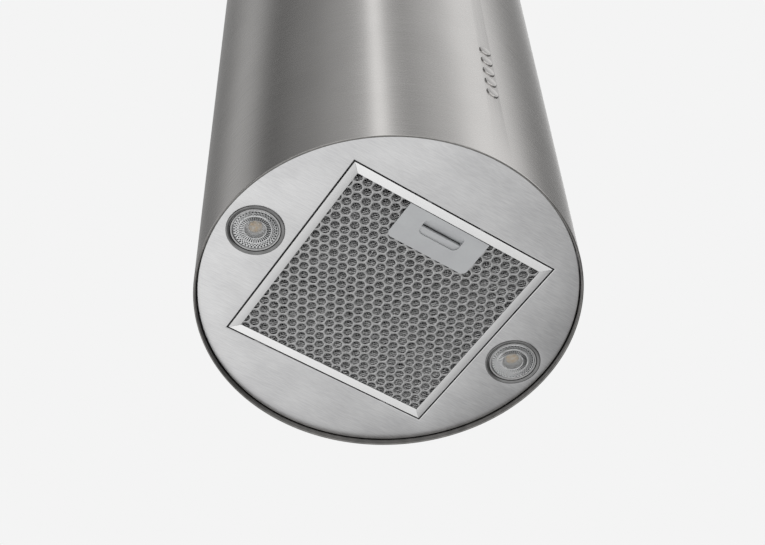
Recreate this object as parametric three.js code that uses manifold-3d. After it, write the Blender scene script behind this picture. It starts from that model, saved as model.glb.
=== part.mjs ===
// Island range hood: a round steel tube hung from the ceiling, with a telescopic upper tube,
// a hinged grease filter and two lamps in its underside, and a centrifugal blower inside.
// Millimetres, +Z up. The origin is the middle of the ceiling plate's top face; the front is -Y.
import * as THREE from 'three';
import { mergeVertices } from 'three/addons/utils/BufferGeometryUtils.js';
import Module from 'manifold-3d';

const wasm = await Module();
wasm.setup();

// ---- driving dimensions ----

const clearance = 0.3; // between pieces that touch
const sheet = 1; // steel sheet of the tubes and the bottom panel
const plateSteel = 2; // steel of the ceiling plate, carrier plate and posts

// tubes and hanging height
const tubeRadius = 195;
const lowerTubeHeight = 600;
const upperTubeHeight = 390;
const tubeGap = 2.5; // between the lower tube and the upper one inside it
const exposedHeight = 150; // of the upper tube, as hung
const raiseTravel = 60; // how far the hood can go up from there
const dropTravel = 180; // and down
const hemWidth = 2.5; // folded lip at the lower rim
const hemHeight = 10;
const hemRound = 1.1;

// bottom panel and its square cut-out
const panelRecess = 6.3; // from the rim up to the panel's face
const panelEdgeGap = 1.3; // between the hem and the panel
const panelFlangeHeight = 17.7;
const cutOutHalf = 118.75;
const cutOutFlangeHeight = 11.7;
const padWidth = 24; // pads that press the panel into the tube
const padHeight = 8;

// grease filter
const filterGap = 1.5; // between the filter frame and the cut-out
const railWidth = 9.35;
const railHeight = 9;
const railTopLip = 8;
const railWall = 0.8;
const faceSheetThickness = 0.8;
const meshThickness = 4.9;
const backSheetThickness = 0.5;
const hingeInset = 2.25; // hinge axis, in from the rear of the frame
const hingeRise = 2.2; // hinge axis, above the frame's face
const lugWidth = 15;
const lugOffset = 77.5;
const lugThickness = 1.6;
const lugReach = 10; // from the hinge axis to the lugs' ends

// handle and latch
const handleWidth = 93.5;
const handleDepth = 43.5;
const handleThickness = 1.1;
const handleCorner = 6;
const handleProud = 0.3; // below the filter frame's face
const pillWidth = 46;
const pillDepth = 19.4;
const pillSetback = 5.5; // from the handle's front edge to the pill-shaped hole
const tongueSetback = 17.4; // from the handle's front edge to the tongue of the latch
const tongueDepth = 10;
const latchThickness = 3.5;
const latchArmWidth = 5.5;
const latchHalfWidth = 34;
const pocketDepth = 4.8;
const springWire = 0.7;
const springRadius = 1.3;
const springTurns = 4;
const springLength = 11.4;
const springTabThickness = 1;

// lamps
const lampShift = 0.5; // from the middle between the cut-out and the panel's edge
const lampRadius = 24.6;
const lensRadius = 22.2;
const lensThickness = 2.5;
const trimFlange = 3.6; // width of the trim ring that shows
const trimWall = 1;
const trimDepth = 15;
const lampDepth = 49.3;
const socketRadius = 13;
const socketHeight = 14;
const cableRadius = 2.5;

// push buttons
const buttonCount = 5;
const buttonRadius = 7;
const buttonPitch = 22;
const firstButtonHeight = 131.5;
const buttonProud = 1.6;
const buttonGap = 0.4;
const buttonTravel = 1.5;
const housingDepth = 9.8;
const housingMargin = 13.5; // housing beyond the end buttons' centres
const housingHalfWidth = 12;
const boardThickness = 1.6;

// blower
const carrierHeight = 288; // underside of the carrier plate, above the rim
const wheelRadius = 70;
const bladeDepth = 12;
const bladeCount = 18;
const bladeThickness = 1.2;
const bladeLean = 0.6; // radians
const wheelWidth = 84;
const wheelGap = 7; // wheel to scroll, at the cut-off
const scrollGrowth = 0.0766; // per radian
const scrollSideGap = 8; // wheel to scroll, at each end
const scrollWall = 1.2;
const cutOffAngle = Math.PI / 3;
const throatShift = 12; // from the tube's axis to the middle of the outlet throat
const blowerHeight = 184;
const motorRadius = 38;
const motorLength = 66;
const motorStart = 6;
const motorWall = 2;
const bearingRadius = 14;
const bearingWidth = 5.4;
const shaftRadius = 4;
const rotorRadius = 19;

// outlet collar and non-return flaps
const collarRadius = 74.5;
const collarWall = 1.5;
const collarHeight = 62;
const collarFlange = 15.5;
const flapHeight = 27.7; // flap pin, above the collar's foot
const flapGap = 3; // flap to collar
const flapThickness = 1.5;
const pinRadius = 1.5;
const knuckleWall = 1.5;

// ceiling plate and posts
const ductClearance = 5.5; // collar to duct hole
const anchorRadius = 140;
const anchorSlotLength = 20;
const anchorSlotWidth = 8;
const postLeg = 25;
const postRimGap = 10; // from the lower posts' corners to the ceiling plate's flange
const postGap = 0.5; // between the nested posts
const postHeadroom = 5; // over the lower posts, with the hood right up
const boltRadius = 3;
const boltHeadRadius = 5.5;
const boltHeadHeight = 4;
const boltSetback = 25; // below the lower posts' tops
const boltSlotMargin = 2;

// electronics
const boxHalfWidth = 55;
const boxCollarGap = 2;
const boxDepth = 58;
const boxHeight = 42;
const boxWall = 2;
const glandBore = 3.5;
const glandRadius = 6;

// ---- heights and radii that follow from them ----

const restDrop = lowerTubeHeight + exposedHeight; // from the ceiling to the lower rim
const tubeInner = tubeRadius - sheet;
const upperTubeRadius = tubeInner - tubeGap;
const panelRadius = tubeRadius - hemWidth - panelEdgeGap;
const panelTop = panelRecess + sheet;
const filterHalf = cutOutHalf - filterGap;
const filterTop = panelRecess + railHeight;
const hingeY = filterHalf - hingeInset;
const hingeZ = panelRecess + hingeRise;
const faceSheetZ = panelRecess + railWall + clearance;
const meshZ = faceSheetZ + faceSheetThickness + clearance;
const backSheetZ = meshZ + meshThickness + clearance;
const handleFront = -filterHalf + railWidth + 0.4;
const handleRear = handleFront + handleDepth;
const handleZ = panelRecess - handleProud;
const latchZ = handleZ + handleThickness + clearance;
const tongueY = handleFront + tongueSetback;
const springTabY = tongueY + tongueDepth + springLength + clearance * 2;
const carrierTop = carrierHeight + plateSteel;
const collarFoot = carrierTop + clearance;
const pinZ = collarFoot + flapHeight;
const ceilingRim = upperTubeRadius - sheet - 2;
const lowerPostCorner = (ceilingRim - plateSteel - postRimGap) / Math.SQRT2;
const upperPostCorner = lowerPostCorner - plateSteel - postGap;
const lowerPostTop = restDrop - raiseTravel - postHeadroom;
const boltHeight = lowerPostTop - boltSetback;
const lampOffset = (cutOutHalf + panelRadius) / 2 + lampShift;
const flapRadius = collarRadius - collarWall - flapGap;
const ductHoleRadius = collarRadius + ductClearance;
const boxNear = collarRadius + collarFlange + boxCollarGap;
const boxFar = boxNear + boxDepth;
const motorEnd = motorStart + motorLength;
const scrollHalfWidth = wheelWidth / 2 + scrollSideGap;
const cutOffRadius = wheelRadius + wheelGap;
const inletRadius = wheelRadius - bladeDepth;
const throatInner = cutOffRadius * Math.cos(cutOffAngle);
const throatOuter = spiralRadius(2 * Math.PI);
const blowerX = throatShift - (throatInner + throatOuter) / 2;

// ---- finishes ----

const finishes = {
  brushedSteel: { color: 0xb4b2ae, roughness: 0.34, metalness: 1 },
  panelSteel: { color: 0xc6c6c4, roughness: 0.42, metalness: 1 },
  aluminium: { color: 0xd0d1d0, roughness: 0.38, metalness: 1 },
  satinHandle: { color: 0xaeb0b1, roughness: 0.5, metalness: 0.7 },
  galvanised: { color: 0x9ea2a3, roughness: 0.5, metalness: 0.9 },
  springSteel: { color: 0x8c8c8a, roughness: 0.35, metalness: 1 },
  chrome: { color: 0xd8d8d8, roughness: 0.12, metalness: 1 },
  lens: { color: 0xeef0f0, roughness: 0.1, metalness: 0 },
  ceramic: { color: 0xe8e4da, roughness: 0.45, metalness: 0 },
  blackPlastic: { color: 0x26272a, roughness: 0.5, metalness: 0 },
  greyPlastic: { color: 0x9a9c9e, roughness: 0.5, metalness: 0 },
  circuitBoard: { color: 0x2c6a3c, roughness: 0.5, metalness: 0 },
  copper: { color: 0xb06b3a, roughness: 0.4, metalness: 0.9 },
  cableJacket: { color: 0xdad8d2, roughness: 0.6, metalness: 0 },
};

// ---- shape helpers ----

// Merges the vertices, drops triangles of no area and turns the faces outwards.
function closedMesh(geometry) {
  const bare = new THREE.BufferGeometry();
  bare.setAttribute('position', geometry.getAttribute('position'));
  bare.setIndex(geometry.getIndex());
  const merged = mergeVertices(bare, 1e-3);
  const points = merged.getAttribute('position');
  const index = merged.getIndex();
  const triangles = [];
  const corner = [new THREE.Vector3(), new THREE.Vector3(), new THREE.Vector3()];
  let volume = 0;
  for (let i = 0; i < index.count; i += 3) {
    const [a, b, c] = [index.getX(i), index.getX(i + 1), index.getX(i + 2)];
    if (a === b || b === c || c === a) continue;
    triangles.push([a, b, c]);
    corner.forEach((vertex, k) => vertex.fromBufferAttribute(points, [a, b, c][k]));
    volume += corner[0].dot(corner[1].clone().cross(corner[2]));
  }
  const outward = volume < 0 ? triangles.map(([a, b, c]) => [a, c, b]) : triangles;
  const closed = new THREE.BufferGeometry();
  closed.setAttribute('position', new THREE.BufferAttribute(new Float32Array(points.array), 3));
  closed.setIndex(new THREE.BufferAttribute(new Uint32Array(outward.flat()), 1));
  return closed;
}

function toManifold(geometry) {
  const closed = closedMesh(geometry);
  return new wasm.Manifold(
    new wasm.Mesh({
      numProp: 3,
      vertProperties: closed.getAttribute('position').array,
      triVerts: closed.getIndex().array,
    }),
  );
}

function fromManifold(manifold) {
  const mesh = manifold.getMesh();
  const geometry = new THREE.BufferGeometry();
  geometry.setAttribute('position', new THREE.BufferAttribute(mesh.vertProperties, 3));
  geometry.setIndex(new THREE.BufferAttribute(mesh.triVerts, 1));
  return geometry;
}

function join(first, ...others) {
  return fromManifold(others.reduce((body, other) => body.add(toManifold(other)), toManifold(first)));
}

function cut(first, ...tools) {
  return fromManifold(tools.reduce((body, tool) => body.subtract(toManifold(tool)), toManifold(first)));
}

function overlap(first, second) {
  return fromManifold(toManifold(first).intersect(toManifold(second)));
}

// A box between two opposite corners.
function block([x0, y0, z0], [x1, y1, z1]) {
  const box = new THREE.BoxGeometry(x1 - x0, y1 - y0, z1 - z0);
  return box.translate((x0 + x1) / 2, (y0 + y1) / 2, (z0 + z1) / 2);
}

// A profile of [radius, height] points turned about the Z axis. A ring's profile closes on itself.
function turned(profile, segments) {
  const points = profile.map(([radius, height]) => new THREE.Vector2(radius, height));
  return closedMesh(new THREE.LatheGeometry(points, segments).rotateX(Math.PI / 2));
}

function ring(profile, segments) {
  return turned([...profile, profile[0]], segments);
}

function disc(radius, z0, z1, segments) {
  return turned([[0, z0], [radius, z0], [radius, z1], [0, z1]], segments);
}

// Turns a shape made about the Z axis so that its +Z end points along +Y.
function alongY(geometry) {
  return geometry.rotateX(-Math.PI / 2);
}

// Turns a shape made about the Z axis so that its +Z end points along +X.
function alongX(geometry) {
  return geometry.rotateY(Math.PI / 2);
}

function circle(radius, segments, x = 0, y = 0) {
  const points = [];
  for (let i = 0; i < segments; i += 1) {
    const angle = (i / segments) * 2 * Math.PI;
    points.push(new THREE.Vector2(x + radius * Math.cos(angle), y + radius * Math.sin(angle)));
  }
  return points;
}

function rectangle(x0, y0, x1, y1) {
  return [[x0, y0], [x1, y0], [x1, y1], [x0, y1]].map(([x, y]) => new THREE.Vector2(x, y));
}

// A rectangle whose corners have the given radii, from the lower left one round.
function roundedRectangle(x0, y0, x1, y1, radii, steps) {
  const corners = [[x0, y0, 1, 1], [x1, y0, -1, 1], [x1, y1, -1, -1], [x0, y1, 1, -1]];
  const points = [];
  corners.forEach(([x, y, inX, inY], k) => {
    const radius = radii[k];
    for (let i = 0; i <= (radius > 0 ? steps : 0); i += 1) {
      const angle = Math.PI + (k + i / steps) * (Math.PI / 2);
      const centre = [x + inX * radius, y + inY * radius];
      points.push(new THREE.Vector2(centre[0] + radius * Math.cos(angle), centre[1] + radius * Math.sin(angle)));
    }
  });
  return points;
}

// A flat outline, with holes, raised from z0 to z1.
function slab(outline, holes, z0, z1) {
  const shape = new THREE.Shape(outline);
  shape.holes = holes.map((hole) => new THREE.Path(hole));
  const raised = new THREE.ExtrudeGeometry(shape, { depth: z1 - z0, bevelEnabled: false, steps: 1 });
  return closedMesh(raised.translate(0, 0, z0));
}

// An outline in (y, z), carried along X from x0 to x1.
function bar(outline, x0, x1) {
  const basis = new THREE.Matrix4().makeBasis(
    new THREE.Vector3(0, 1, 0),
    new THREE.Vector3(0, 0, 1),
    new THREE.Vector3(1, 0, 0),
  );
  return slab(outline.map(([y, z]) => new THREE.Vector2(y, z)), [], x0, x1).applyMatrix4(basis);
}

// An outline in (x, z), carried along Y from y0 to y1.
function depthSlab(outline, y0, y1) {
  return slab(outline, [], -y1, -y0).rotateX(Math.PI / 2);
}

function tubeAlong(curve, radius, sides, steps) {
  const section = new THREE.Shape(circle(radius, sides));
  return closedMesh(new THREE.ExtrudeGeometry(section, { steps, bevelEnabled: false, extrudePath: curve }));
}

function addPiece(group, name, geometry, finish) {
  const piece = new THREE.Mesh(geometry, new THREE.MeshStandardMaterial(finishes[finish]));
  piece.name = name;
  group.add(piece);
  return piece;
}

// ---- ceiling frame: plate, upper tube and upper posts ----

// An L-section post in the corner (+corner, +corner), its legs pointing inwards.
function post(corner, z0, z1) {
  const inner = corner - plateSteel;
  const end = corner - postLeg;
  const outline = [[corner, corner], [end, corner], [end, inner], [inner, inner], [inner, end], [corner, end]];
  return slab(outline.map(([x, y]) => new THREE.Vector2(x, y)), [], z0, z1);
}

function quarterTurn(geometry, quarter) {
  return geometry.rotateZ((quarter * Math.PI) / 2);
}

const boltY = upperPostCorner - postLeg / 2;

// The slot lets the bolts pass along the upper posts as the hood is raised or lowered.
function upperPost(quarter) {
  const top = -plateSteel - clearance;
  const bottom = carrierTop + raiseTravel + 6 - restDrop;
  const slotTop = boltHeight - restDrop + raiseTravel + boltRadius + boltSlotMargin;
  const slotLength = raiseTravel + dropTravel + 2 * (boltRadius + boltSlotMargin);
  const foot = block(
    [upperPostCorner - postLeg, upperPostCorner - postLeg, top - plateSteel],
    [upperPostCorner, upperPostCorner, top],
  );
  const halfSlot = boltRadius + 0.4;
  const slot = block(
    [upperPostCorner - plateSteel - 1, boltY - halfSlot, slotTop - slotLength],
    [upperPostCorner + 1, boltY + halfSlot, slotTop],
  );
  return quarterTurn(cut(join(post(upperPostCorner, bottom, top), foot), slot), quarter);
}

function ceilingPlate() {
  const segments = 36;
  const rim = ceilingRim;
  const flangeDrop = 20;
  const plate = ring(
    [
      [ductHoleRadius, -plateSteel], [rim - plateSteel, -plateSteel], [rim - plateSteel, -flangeDrop],
      [rim, -flangeDrop], [rim, 0], [ductHoleRadius, 0],
    ],
    segments,
  );
  const anchorSlots = [0, 1, 2, 3].map((quarter) => {
    const halfWidth = anchorSlotWidth / 2;
    const outline = roundedRectangle(
      anchorRadius - anchorSlotLength / 2, -halfWidth, anchorRadius + anchorSlotLength / 2, halfWidth,
      [halfWidth, halfWidth, halfWidth, halfWidth].map((radius) => radius - 0.01), 3,
    );
    return quarterTurn(slab(outline, [], -plateSteel - 1, 1), quarter);
  });
  const cableHole = slab(circle(10, 12, 70, 80), [], -plateSteel - 1, 1);
  return cut(plate, ...anchorSlots, cableHole);
}

function upperTube() {
  const inner = upperTubeRadius - sheet;
  const profile = [[inner, -upperTubeHeight], [upperTubeRadius, -upperTubeHeight], [upperTubeRadius, 0], [inner, 0]];
  return ring(profile, 48);
}

// ---- hood shell: lower tube and bottom panel ----

function buttonBore(radius, index, y0, y1) {
  return alongY(disc(radius, y0, y1, 14)).translate(0, 0, firstButtonHeight + index * buttonPitch);
}

const buttonIndexes = Array.from({ length: buttonCount }, (_, index) => index);

function lowerTube() {
  const hemInner = tubeRadius - hemWidth;
  const profile = [
    [tubeRadius, hemRound], [tubeRadius, lowerTubeHeight], [tubeInner, lowerTubeHeight],
    [tubeInner, hemHeight], [hemInner, hemHeight], [hemInner, hemRound], [hemInner + hemRound / 2, 0],
    [tubeRadius - hemRound / 2, 0],
  ];
  const holes = buttonIndexes.map((index) => (
    buttonBore(buttonRadius + buttonGap, index, -tubeRadius - 5, -tubeRadius + 20)
  ));
  return cut(ring(profile, 48), ...holes);
}

function panelPad(index) {
  const pad = block(
    [panelRadius - sheet, -padWidth / 2, hemHeight + 4],
    [panelRadius + panelEdgeGap, padWidth / 2, hemHeight + 4 + padHeight],
  );
  return pad.rotateZ((index + 0.5) * (Math.PI / 2));
}

function lugNotch(side) {
  const halfNotch = lugWidth / 2 + 2;
  return block(
    [side * lugOffset - halfNotch, cutOutHalf - 1, panelTop + 0.7],
    [side * lugOffset + halfNotch, cutOutHalf + sheet + 1, panelRecess + cutOutFlangeHeight + 1],
  );
}

function latchSlot(side, y0, y1, margin) {
  const middle = side * (latchHalfWidth - latchArmWidth / 2);
  const halfSlot = latchArmWidth / 2 + margin;
  return block([middle - halfSlot, y0, latchZ - 0.2], [middle + halfSlot, y1, latchZ + latchThickness + margin]);
}

function bottomPanel() {
  const square = rectangle(-cutOutHalf, -cutOutHalf, cutOutHalf, cutOutHalf);
  const squareOutside = rectangle(-cutOutHalf - sheet, -cutOutHalf - sheet, cutOutHalf + sheet, cutOutHalf + sheet);
  const lampHole = lampRadius + 0.6 + trimWall + 0.4;
  const holes = [square, ...[-1, 1].map((side) => circle(lampHole, 24, side * lampOffset, 0))];
  const face = slab(circle(panelRadius, 48), holes, panelRecess, panelTop);
  const rimFlange = ring(
    [
      [panelRadius - sheet, panelRecess], [panelRadius, panelRecess],
      [panelRadius, panelRecess + panelFlangeHeight], [panelRadius - sheet, panelRecess + panelFlangeHeight],
    ],
    48,
  );
  const cutOutFlange = slab(squareOutside, [square], panelRecess, panelRecess + cutOutFlangeHeight);
  const pads = [0, 1, 2, 3].map(panelPad);
  const whole = join(face, rimFlange, cutOutFlange, ...pads);
  const latchSlots = [-1, 1].map((side) => latchSlot(side, -cutOutHalf - sheet - 1, -cutOutHalf + 1, 1));
  return cut(whole, ...[-1, 1].map(lugNotch), ...latchSlots);
}

// ---- carrier plate, lower posts and height bolts ----

const cableHoleX = tubeInner - 26;
const cableHoleY = 12;

function carrierPlate() {
  const rim = tubeInner - 1.5;
  const skirt = 20;
  const throat = collarRadius - collarWall;
  const plate = ring(
    [
      [throat, carrierHeight], [rim - plateSteel, carrierHeight], [rim - plateSteel, carrierHeight - skirt],
      [rim, carrierHeight - skirt], [rim, carrierTop], [throat, carrierTop],
    ],
    36,
  );
  const holes = [-1, 1].map((side) => (
    slab(circle(cableRadius + 2, 10, side * cableHoleX, cableHoleY), [], carrierHeight - 1, carrierTop + 1)
  ));
  return cut(plate, ...holes);
}

function boltAxis(geometry) {
  return alongX(geometry).translate(0, boltY, boltHeight);
}

function lowerPost(quarter) {
  const bottom = carrierTop + clearance;
  const hole = boltAxis(disc(boltRadius + 0.4, lowerPostCorner - plateSteel - 1, lowerPostCorner + 1, 8));
  return quarterTurn(cut(post(lowerPostCorner, bottom, lowerPostTop), hole), quarter);
}

// A hexagon bolt with its nut, through both posts.
function heightBolt(quarter) {
  const headStart = lowerPostCorner + clearance;
  const nutEnd = upperPostCorner - plateSteel - clearance;
  const shank = boltAxis(disc(boltRadius, nutEnd - boltHeadHeight - 2, headStart + 1, 8));
  const head = boltAxis(disc(boltHeadRadius, headStart, headStart + boltHeadHeight, 6));
  const nut = boltAxis(disc(boltHeadRadius, nutEnd - boltHeadHeight, nutEnd, 6));
  return quarterTurn(join(shank, head, nut), quarter);
}

// ---- blower: scroll housing, wheel and motor ----

function atBlower(geometry) {
  return alongY(geometry).translate(blowerX, 0, blowerHeight);
}

function spiralRadius(angle) {
  return cutOffRadius * Math.exp(scrollGrowth * (angle - cutOffAngle));
}

// The scroll's cavity, or its outside when grown by the wall, between y0 and y1.
function scrollBody(growth, y0, y1, top) {
  const steps = 20;
  const spiral = [new THREE.Vector2(blowerX, blowerHeight)];
  for (let i = 0; i <= steps; i += 1) {
    const angle = cutOffAngle + (i / steps) * (2 * Math.PI - cutOffAngle);
    const radius = spiralRadius(angle) + growth;
    spiral.push(new THREE.Vector2(blowerX + radius * Math.cos(angle), blowerHeight + radius * Math.sin(angle)));
  }
  const throatLeft = blowerX + throatInner - growth;
  const throatRight = blowerX + throatOuter + growth;
  const core = alongY(disc(cutOffRadius + growth, y0, y1, 24)).translate(blowerX, 0, blowerHeight);
  const throat = block([throatLeft, y0, blowerHeight], [throatRight, y1, top]);
  return join(depthSlab(spiral, y0, y1), core, throat);
}

// One half of the scroll housing; side is -1 at the front and +1 at the rear.
function scrollHalf(side) {
  const top = carrierHeight - clearance;
  const outer = scrollHalfWidth + scrollWall;
  const parting = clearance / 2;
  const span = (near, far) => (side < 0 ? [-far, -near] : [near, far]);
  const outside = scrollBody(scrollWall, ...span(parting, outer), top);
  const cavity = scrollBody(0, ...span(parting - 1, scrollHalfWidth), top + 1);
  const inlet = atBlower(disc(inletRadius, ...span(scrollHalfWidth - 2, outer + 2), 24));
  const reach = collarRadius + 4; // the flange closes the carrier plate's hole
  const [y0, y1] = span(parting, reach);
  const flange = block([-reach, y0, top - 1.5], [reach, y1, top]);
  return cut(join(outside, flange), cavity, inlet);
}

// A forward-curved double-inlet wheel: a middle disc, a ring at each end, leaning blades and a hub.
function fanWheel() {
  const halfWidth = wheelWidth / 2;
  const middle = disc(wheelRadius - 2, -0.8, 0.8, 24);
  const hub = disc(10, -22, 0, 12);
  const endRings = [-halfWidth, halfWidth - 2].map((z) => (
    ring([[wheelRadius - 5, z], [wheelRadius, z], [wheelRadius, z + 2], [wheelRadius - 5, z + 2]], 36)
  ));
  const blades = [];
  for (let i = 0; i < bladeCount; i += 1) {
    const blade = block([-bladeDepth / 2, -bladeThickness / 2, -halfWidth + 0.5],
      [bladeDepth / 2, bladeThickness / 2, halfWidth - 0.5]);
    blade.rotateZ(bladeLean).translate(wheelRadius - bladeDepth / 2 - 0.8, 0, 0);
    blades.push(blade.rotateZ((i / bladeCount) * 2 * Math.PI));
  }
  const bore = disc(shaftRadius + clearance, -halfWidth, halfWidth, 12);
  return atBlower(cut(join(middle, hub, ...endRings, ...blades), bore));
}

function motorCan() {
  const inner = motorRadius - motorWall;
  const cap = bearingWidth + clearance * 2;
  const seat = bearingRadius + clearance;
  return atBlower(ring(
    [
      [seat, motorStart], [motorRadius, motorStart], [motorRadius, motorEnd], [seat, motorEnd],
      [seat, motorEnd - cap], [inner, motorEnd - cap], [inner, motorStart + cap], [seat, motorStart + cap],
    ],
    24,
  ));
}

function motorStator() {
  const outer = motorRadius - motorWall - clearance;
  const inner = rotorRadius + 1;
  const [start, end] = [motorStart + 8, motorEnd - 8];
  return atBlower(ring([[inner, start], [outer, start], [outer, end], [inner, end]], 24));
}

function bearing(start) {
  const inner = shaftRadius + clearance;
  const end = start + bearingWidth;
  return atBlower(ring([[inner, start], [bearingRadius, start], [bearingRadius, end], [inner, end]], 14));
}

function motorShaft() {
  const [rotorStart, rotorEnd] = [motorStart + 14, motorEnd - 14];
  return atBlower(turned(
    [
      [0, -24], [shaftRadius, -24], [shaftRadius, rotorStart], [rotorRadius, rotorStart],
      [rotorRadius, rotorEnd], [shaftRadius, rotorEnd], [shaftRadius, motorEnd + 2], [0, motorEnd + 2],
    ],
    14,
  ));
}

// Two rings and three arms hold the motor in the rear inlet.
function motorBracket() {
  const z0 = scrollHalfWidth + scrollWall + 0.4;
  const z1 = z0 + 3;
  const collar = [motorRadius + 0.4, motorRadius + 5];
  const rim = [inletRadius + 1, inletRadius + 8];
  const rings = [collar, rim].map(([inner, outer]) => (
    ring([[inner, z0], [outer, z0], [outer, z1], [inner, z1]], 24)
  ));
  const arms = [0, 1, 2].map((index) => (
    block([collar[1] - 1.5, -4, z0 + 0.5], [rim[0] + 1.5, 4, z1 - 0.5]).rotateZ((index / 3) * 2 * Math.PI)
  ));
  return atBlower(join(rings[0], rings[1], ...arms));
}

// ---- outlet collar with its non-return flaps ----

const flapSeatZ = flapHeight - flapThickness / 2 - clearance;

function outletCollar() {
  const inner = collarRadius - collarWall;
  const profile = [
    [inner, 0], [collarRadius + collarFlange, 0], [collarRadius + collarFlange, plateSteel],
    [collarRadius, plateSteel], [collarRadius, collarHeight], [inner, collarHeight],
    [inner, flapSeatZ], [flapRadius - 2, flapSeatZ], [flapRadius - 2, flapSeatZ - 2], [inner, flapSeatZ - 2],
  ];
  const pinHoles = alongY(disc(pinRadius + clearance, -collarRadius - 1, collarRadius + 1, 8));
  return cut(ring(profile, 36), pinHoles.translate(0, 0, flapHeight)).translate(0, 0, collarFoot);
}

function flapPin() {
  return alongY(disc(pinRadius, -collarRadius + 0.4, collarRadius - 0.4, 8)).translate(0, 0, pinZ);
}

// A half disc with knuckles round the pin; side is -1 on the left and +1 on the right.
function flap(side) {
  const knuckleRadius = pinRadius + clearance + knuckleWall;
  const rootX = knuckleRadius + 0.3;
  const halfThickness = flapThickness / 2;
  const knuckleEnd = flapRadius - 10;
  const knuckleSpans = side < 0 ? [[-knuckleEnd, -22], [22, knuckleEnd]] : [[-20, 20]];
  const halfPlane = block([rootX, -flapRadius - 1, -5], [flapRadius + 1, flapRadius + 1, 5]);
  const leaf = overlap(disc(flapRadius, -halfThickness, halfThickness, 32), halfPlane);
  const knuckles = knuckleSpans.map(([y0, y1]) => alongY(disc(knuckleRadius, y0, y1, 8)));
  const bridges = knuckleSpans.map(([y0, y1]) => (
    block([pinRadius, y0, -halfThickness], [rootX + 1, y1, halfThickness])
  ));
  const bore = alongY(disc(pinRadius + clearance, -flapRadius, flapRadius, 8));
  const whole = cut(join(leaf, ...knuckles, ...bridges), bore);
  return (side < 0 ? whole.rotateZ(Math.PI) : whole).translate(0, 0, pinZ);
}

// ---- electronics box, cover and cable gland ----

const boxFloor = carrierTop + clearance;
const glandX = 30;
const glandY = (boxNear + boxFar) / 2;

function electronicsBox() {
  const outside = block([-boxHalfWidth, boxNear, boxFloor], [boxHalfWidth, boxFar, boxFloor + boxHeight]);
  const inside = block(
    [-boxHalfWidth + boxWall, boxNear + boxWall, boxFloor + boxWall],
    [boxHalfWidth - boxWall, boxFar - boxWall, boxFloor + boxHeight + 1],
  );
  return cut(outside, inside);
}

function electronicsCover() {
  const z0 = boxFloor + boxHeight + clearance;
  const outline = rectangle(-boxHalfWidth, boxNear, boxHalfWidth, boxFar);
  return slab(outline, [circle(glandRadius + clearance, 12, glandX, glandY)], z0, z0 + boxWall);
}

function cableGland() {
  const base = boxFloor + boxHeight + boxWall + clearance * 2;
  const nut = glandRadius + 3;
  const profile = [
    [glandBore, base - 6], [glandRadius, base - 6], [glandRadius, base], [nut, base], [nut, base + 5],
    [glandRadius, base + 12], [glandBore, base + 12],
  ];
  return ring(profile, 12).translate(glandX, glandY, 0);
}

// ---- control buttons ----

const housingFront = -tubeInner + 1.2;

function buttonHousing() {
  const z0 = firstButtonHeight - housingMargin;
  const z1 = firstButtonHeight + (buttonCount - 1) * buttonPitch + housingMargin;
  const whole = block([-housingHalfWidth, housingFront, z0], [housingHalfWidth, housingFront + housingDepth, z1]);
  const bores = buttonIndexes.map((index) => (
    buttonBore(buttonRadius + buttonGap, index, housingFront - 1, housingFront + housingDepth + 1)
  ));
  return cut(whole, ...bores);
}

// The board carries one small switch behind each button.
function switchBoard() {
  const y0 = housingFront + housingDepth + clearance;
  const z0 = firstButtonHeight - housingMargin;
  const z1 = firstButtonHeight + (buttonCount - 1) * buttonPitch + housingMargin;
  return block([-housingHalfWidth, y0, z0], [housingHalfWidth, y0 + boardThickness, z1]);
}

function pushButton(index) {
  const front = -tubeRadius - buttonProud;
  const capBack = housingFront + 3;
  const stemEnd = housingFront + housingDepth - buttonTravel - clearance;
  const profile = [[0, front], [buttonRadius, front], [buttonRadius, capBack], [3, capBack], [3, stemEnd], [0, stemEnd]];
  return alongY(turned(profile, 14)).translate(0, 0, firstButtonHeight + index * buttonPitch);
}

// ---- lamps ----

const trimInner = lampRadius + 0.6;
const trimFace = panelRecess - 1.3;

function lampTrim() {
  const outer = trimInner + trimFlange;
  const back = panelRecess - clearance;
  const barrel = trimInner + trimWall;
  return ring(
    [
      [trimInner, trimFace], [outer - 0.5, trimFace], [outer, trimFace + 0.5], [outer, back],
      [barrel, back], [barrel, trimFace + trimDepth], [trimInner, trimFace + trimDepth],
    ],
    24,
  );
}

const lampFace = panelRecess - 0.1;
const lampBack = lampFace + lampDepth;
const lensSeat = lampFace + lensThickness + 0.8;

function lampBody() {
  const neck = 12;
  return turned(
    [
      [0, lensSeat], [lensRadius + 0.4, lensSeat], [lensRadius + 0.4, lampFace], [lampRadius, lampFace],
      [lampRadius, lampFace + 14], [neck + 2, lampBack - 11], [neck, lampBack - 9], [neck, lampBack], [0, lampBack],
    ],
    20,
  );
}

function lampLens() {
  return disc(lensRadius, lampFace + 0.4, lensSeat - clearance, 20);
}

// A ceramic socket held over the lamp by a bent strap that stands on the panel.
function lampSocket() {
  const z0 = lampBack + clearance + 0.2;
  const legY = trimInner + trimWall + 3.3;
  const strap = 1.5;
  const cap = disc(socketRadius, z0, z0 + socketHeight, 14);
  const legs = [-legY - strap, legY].map((y) => block([-6, y, panelTop + clearance], [6, y + strap, z0 + 6]));
  const bridge = block([-6, -legY - strap, z0 + 6 - strap], [6, legY + strap, z0 + 6]);
  return join(cap, bridge, ...legs);
}

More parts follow.
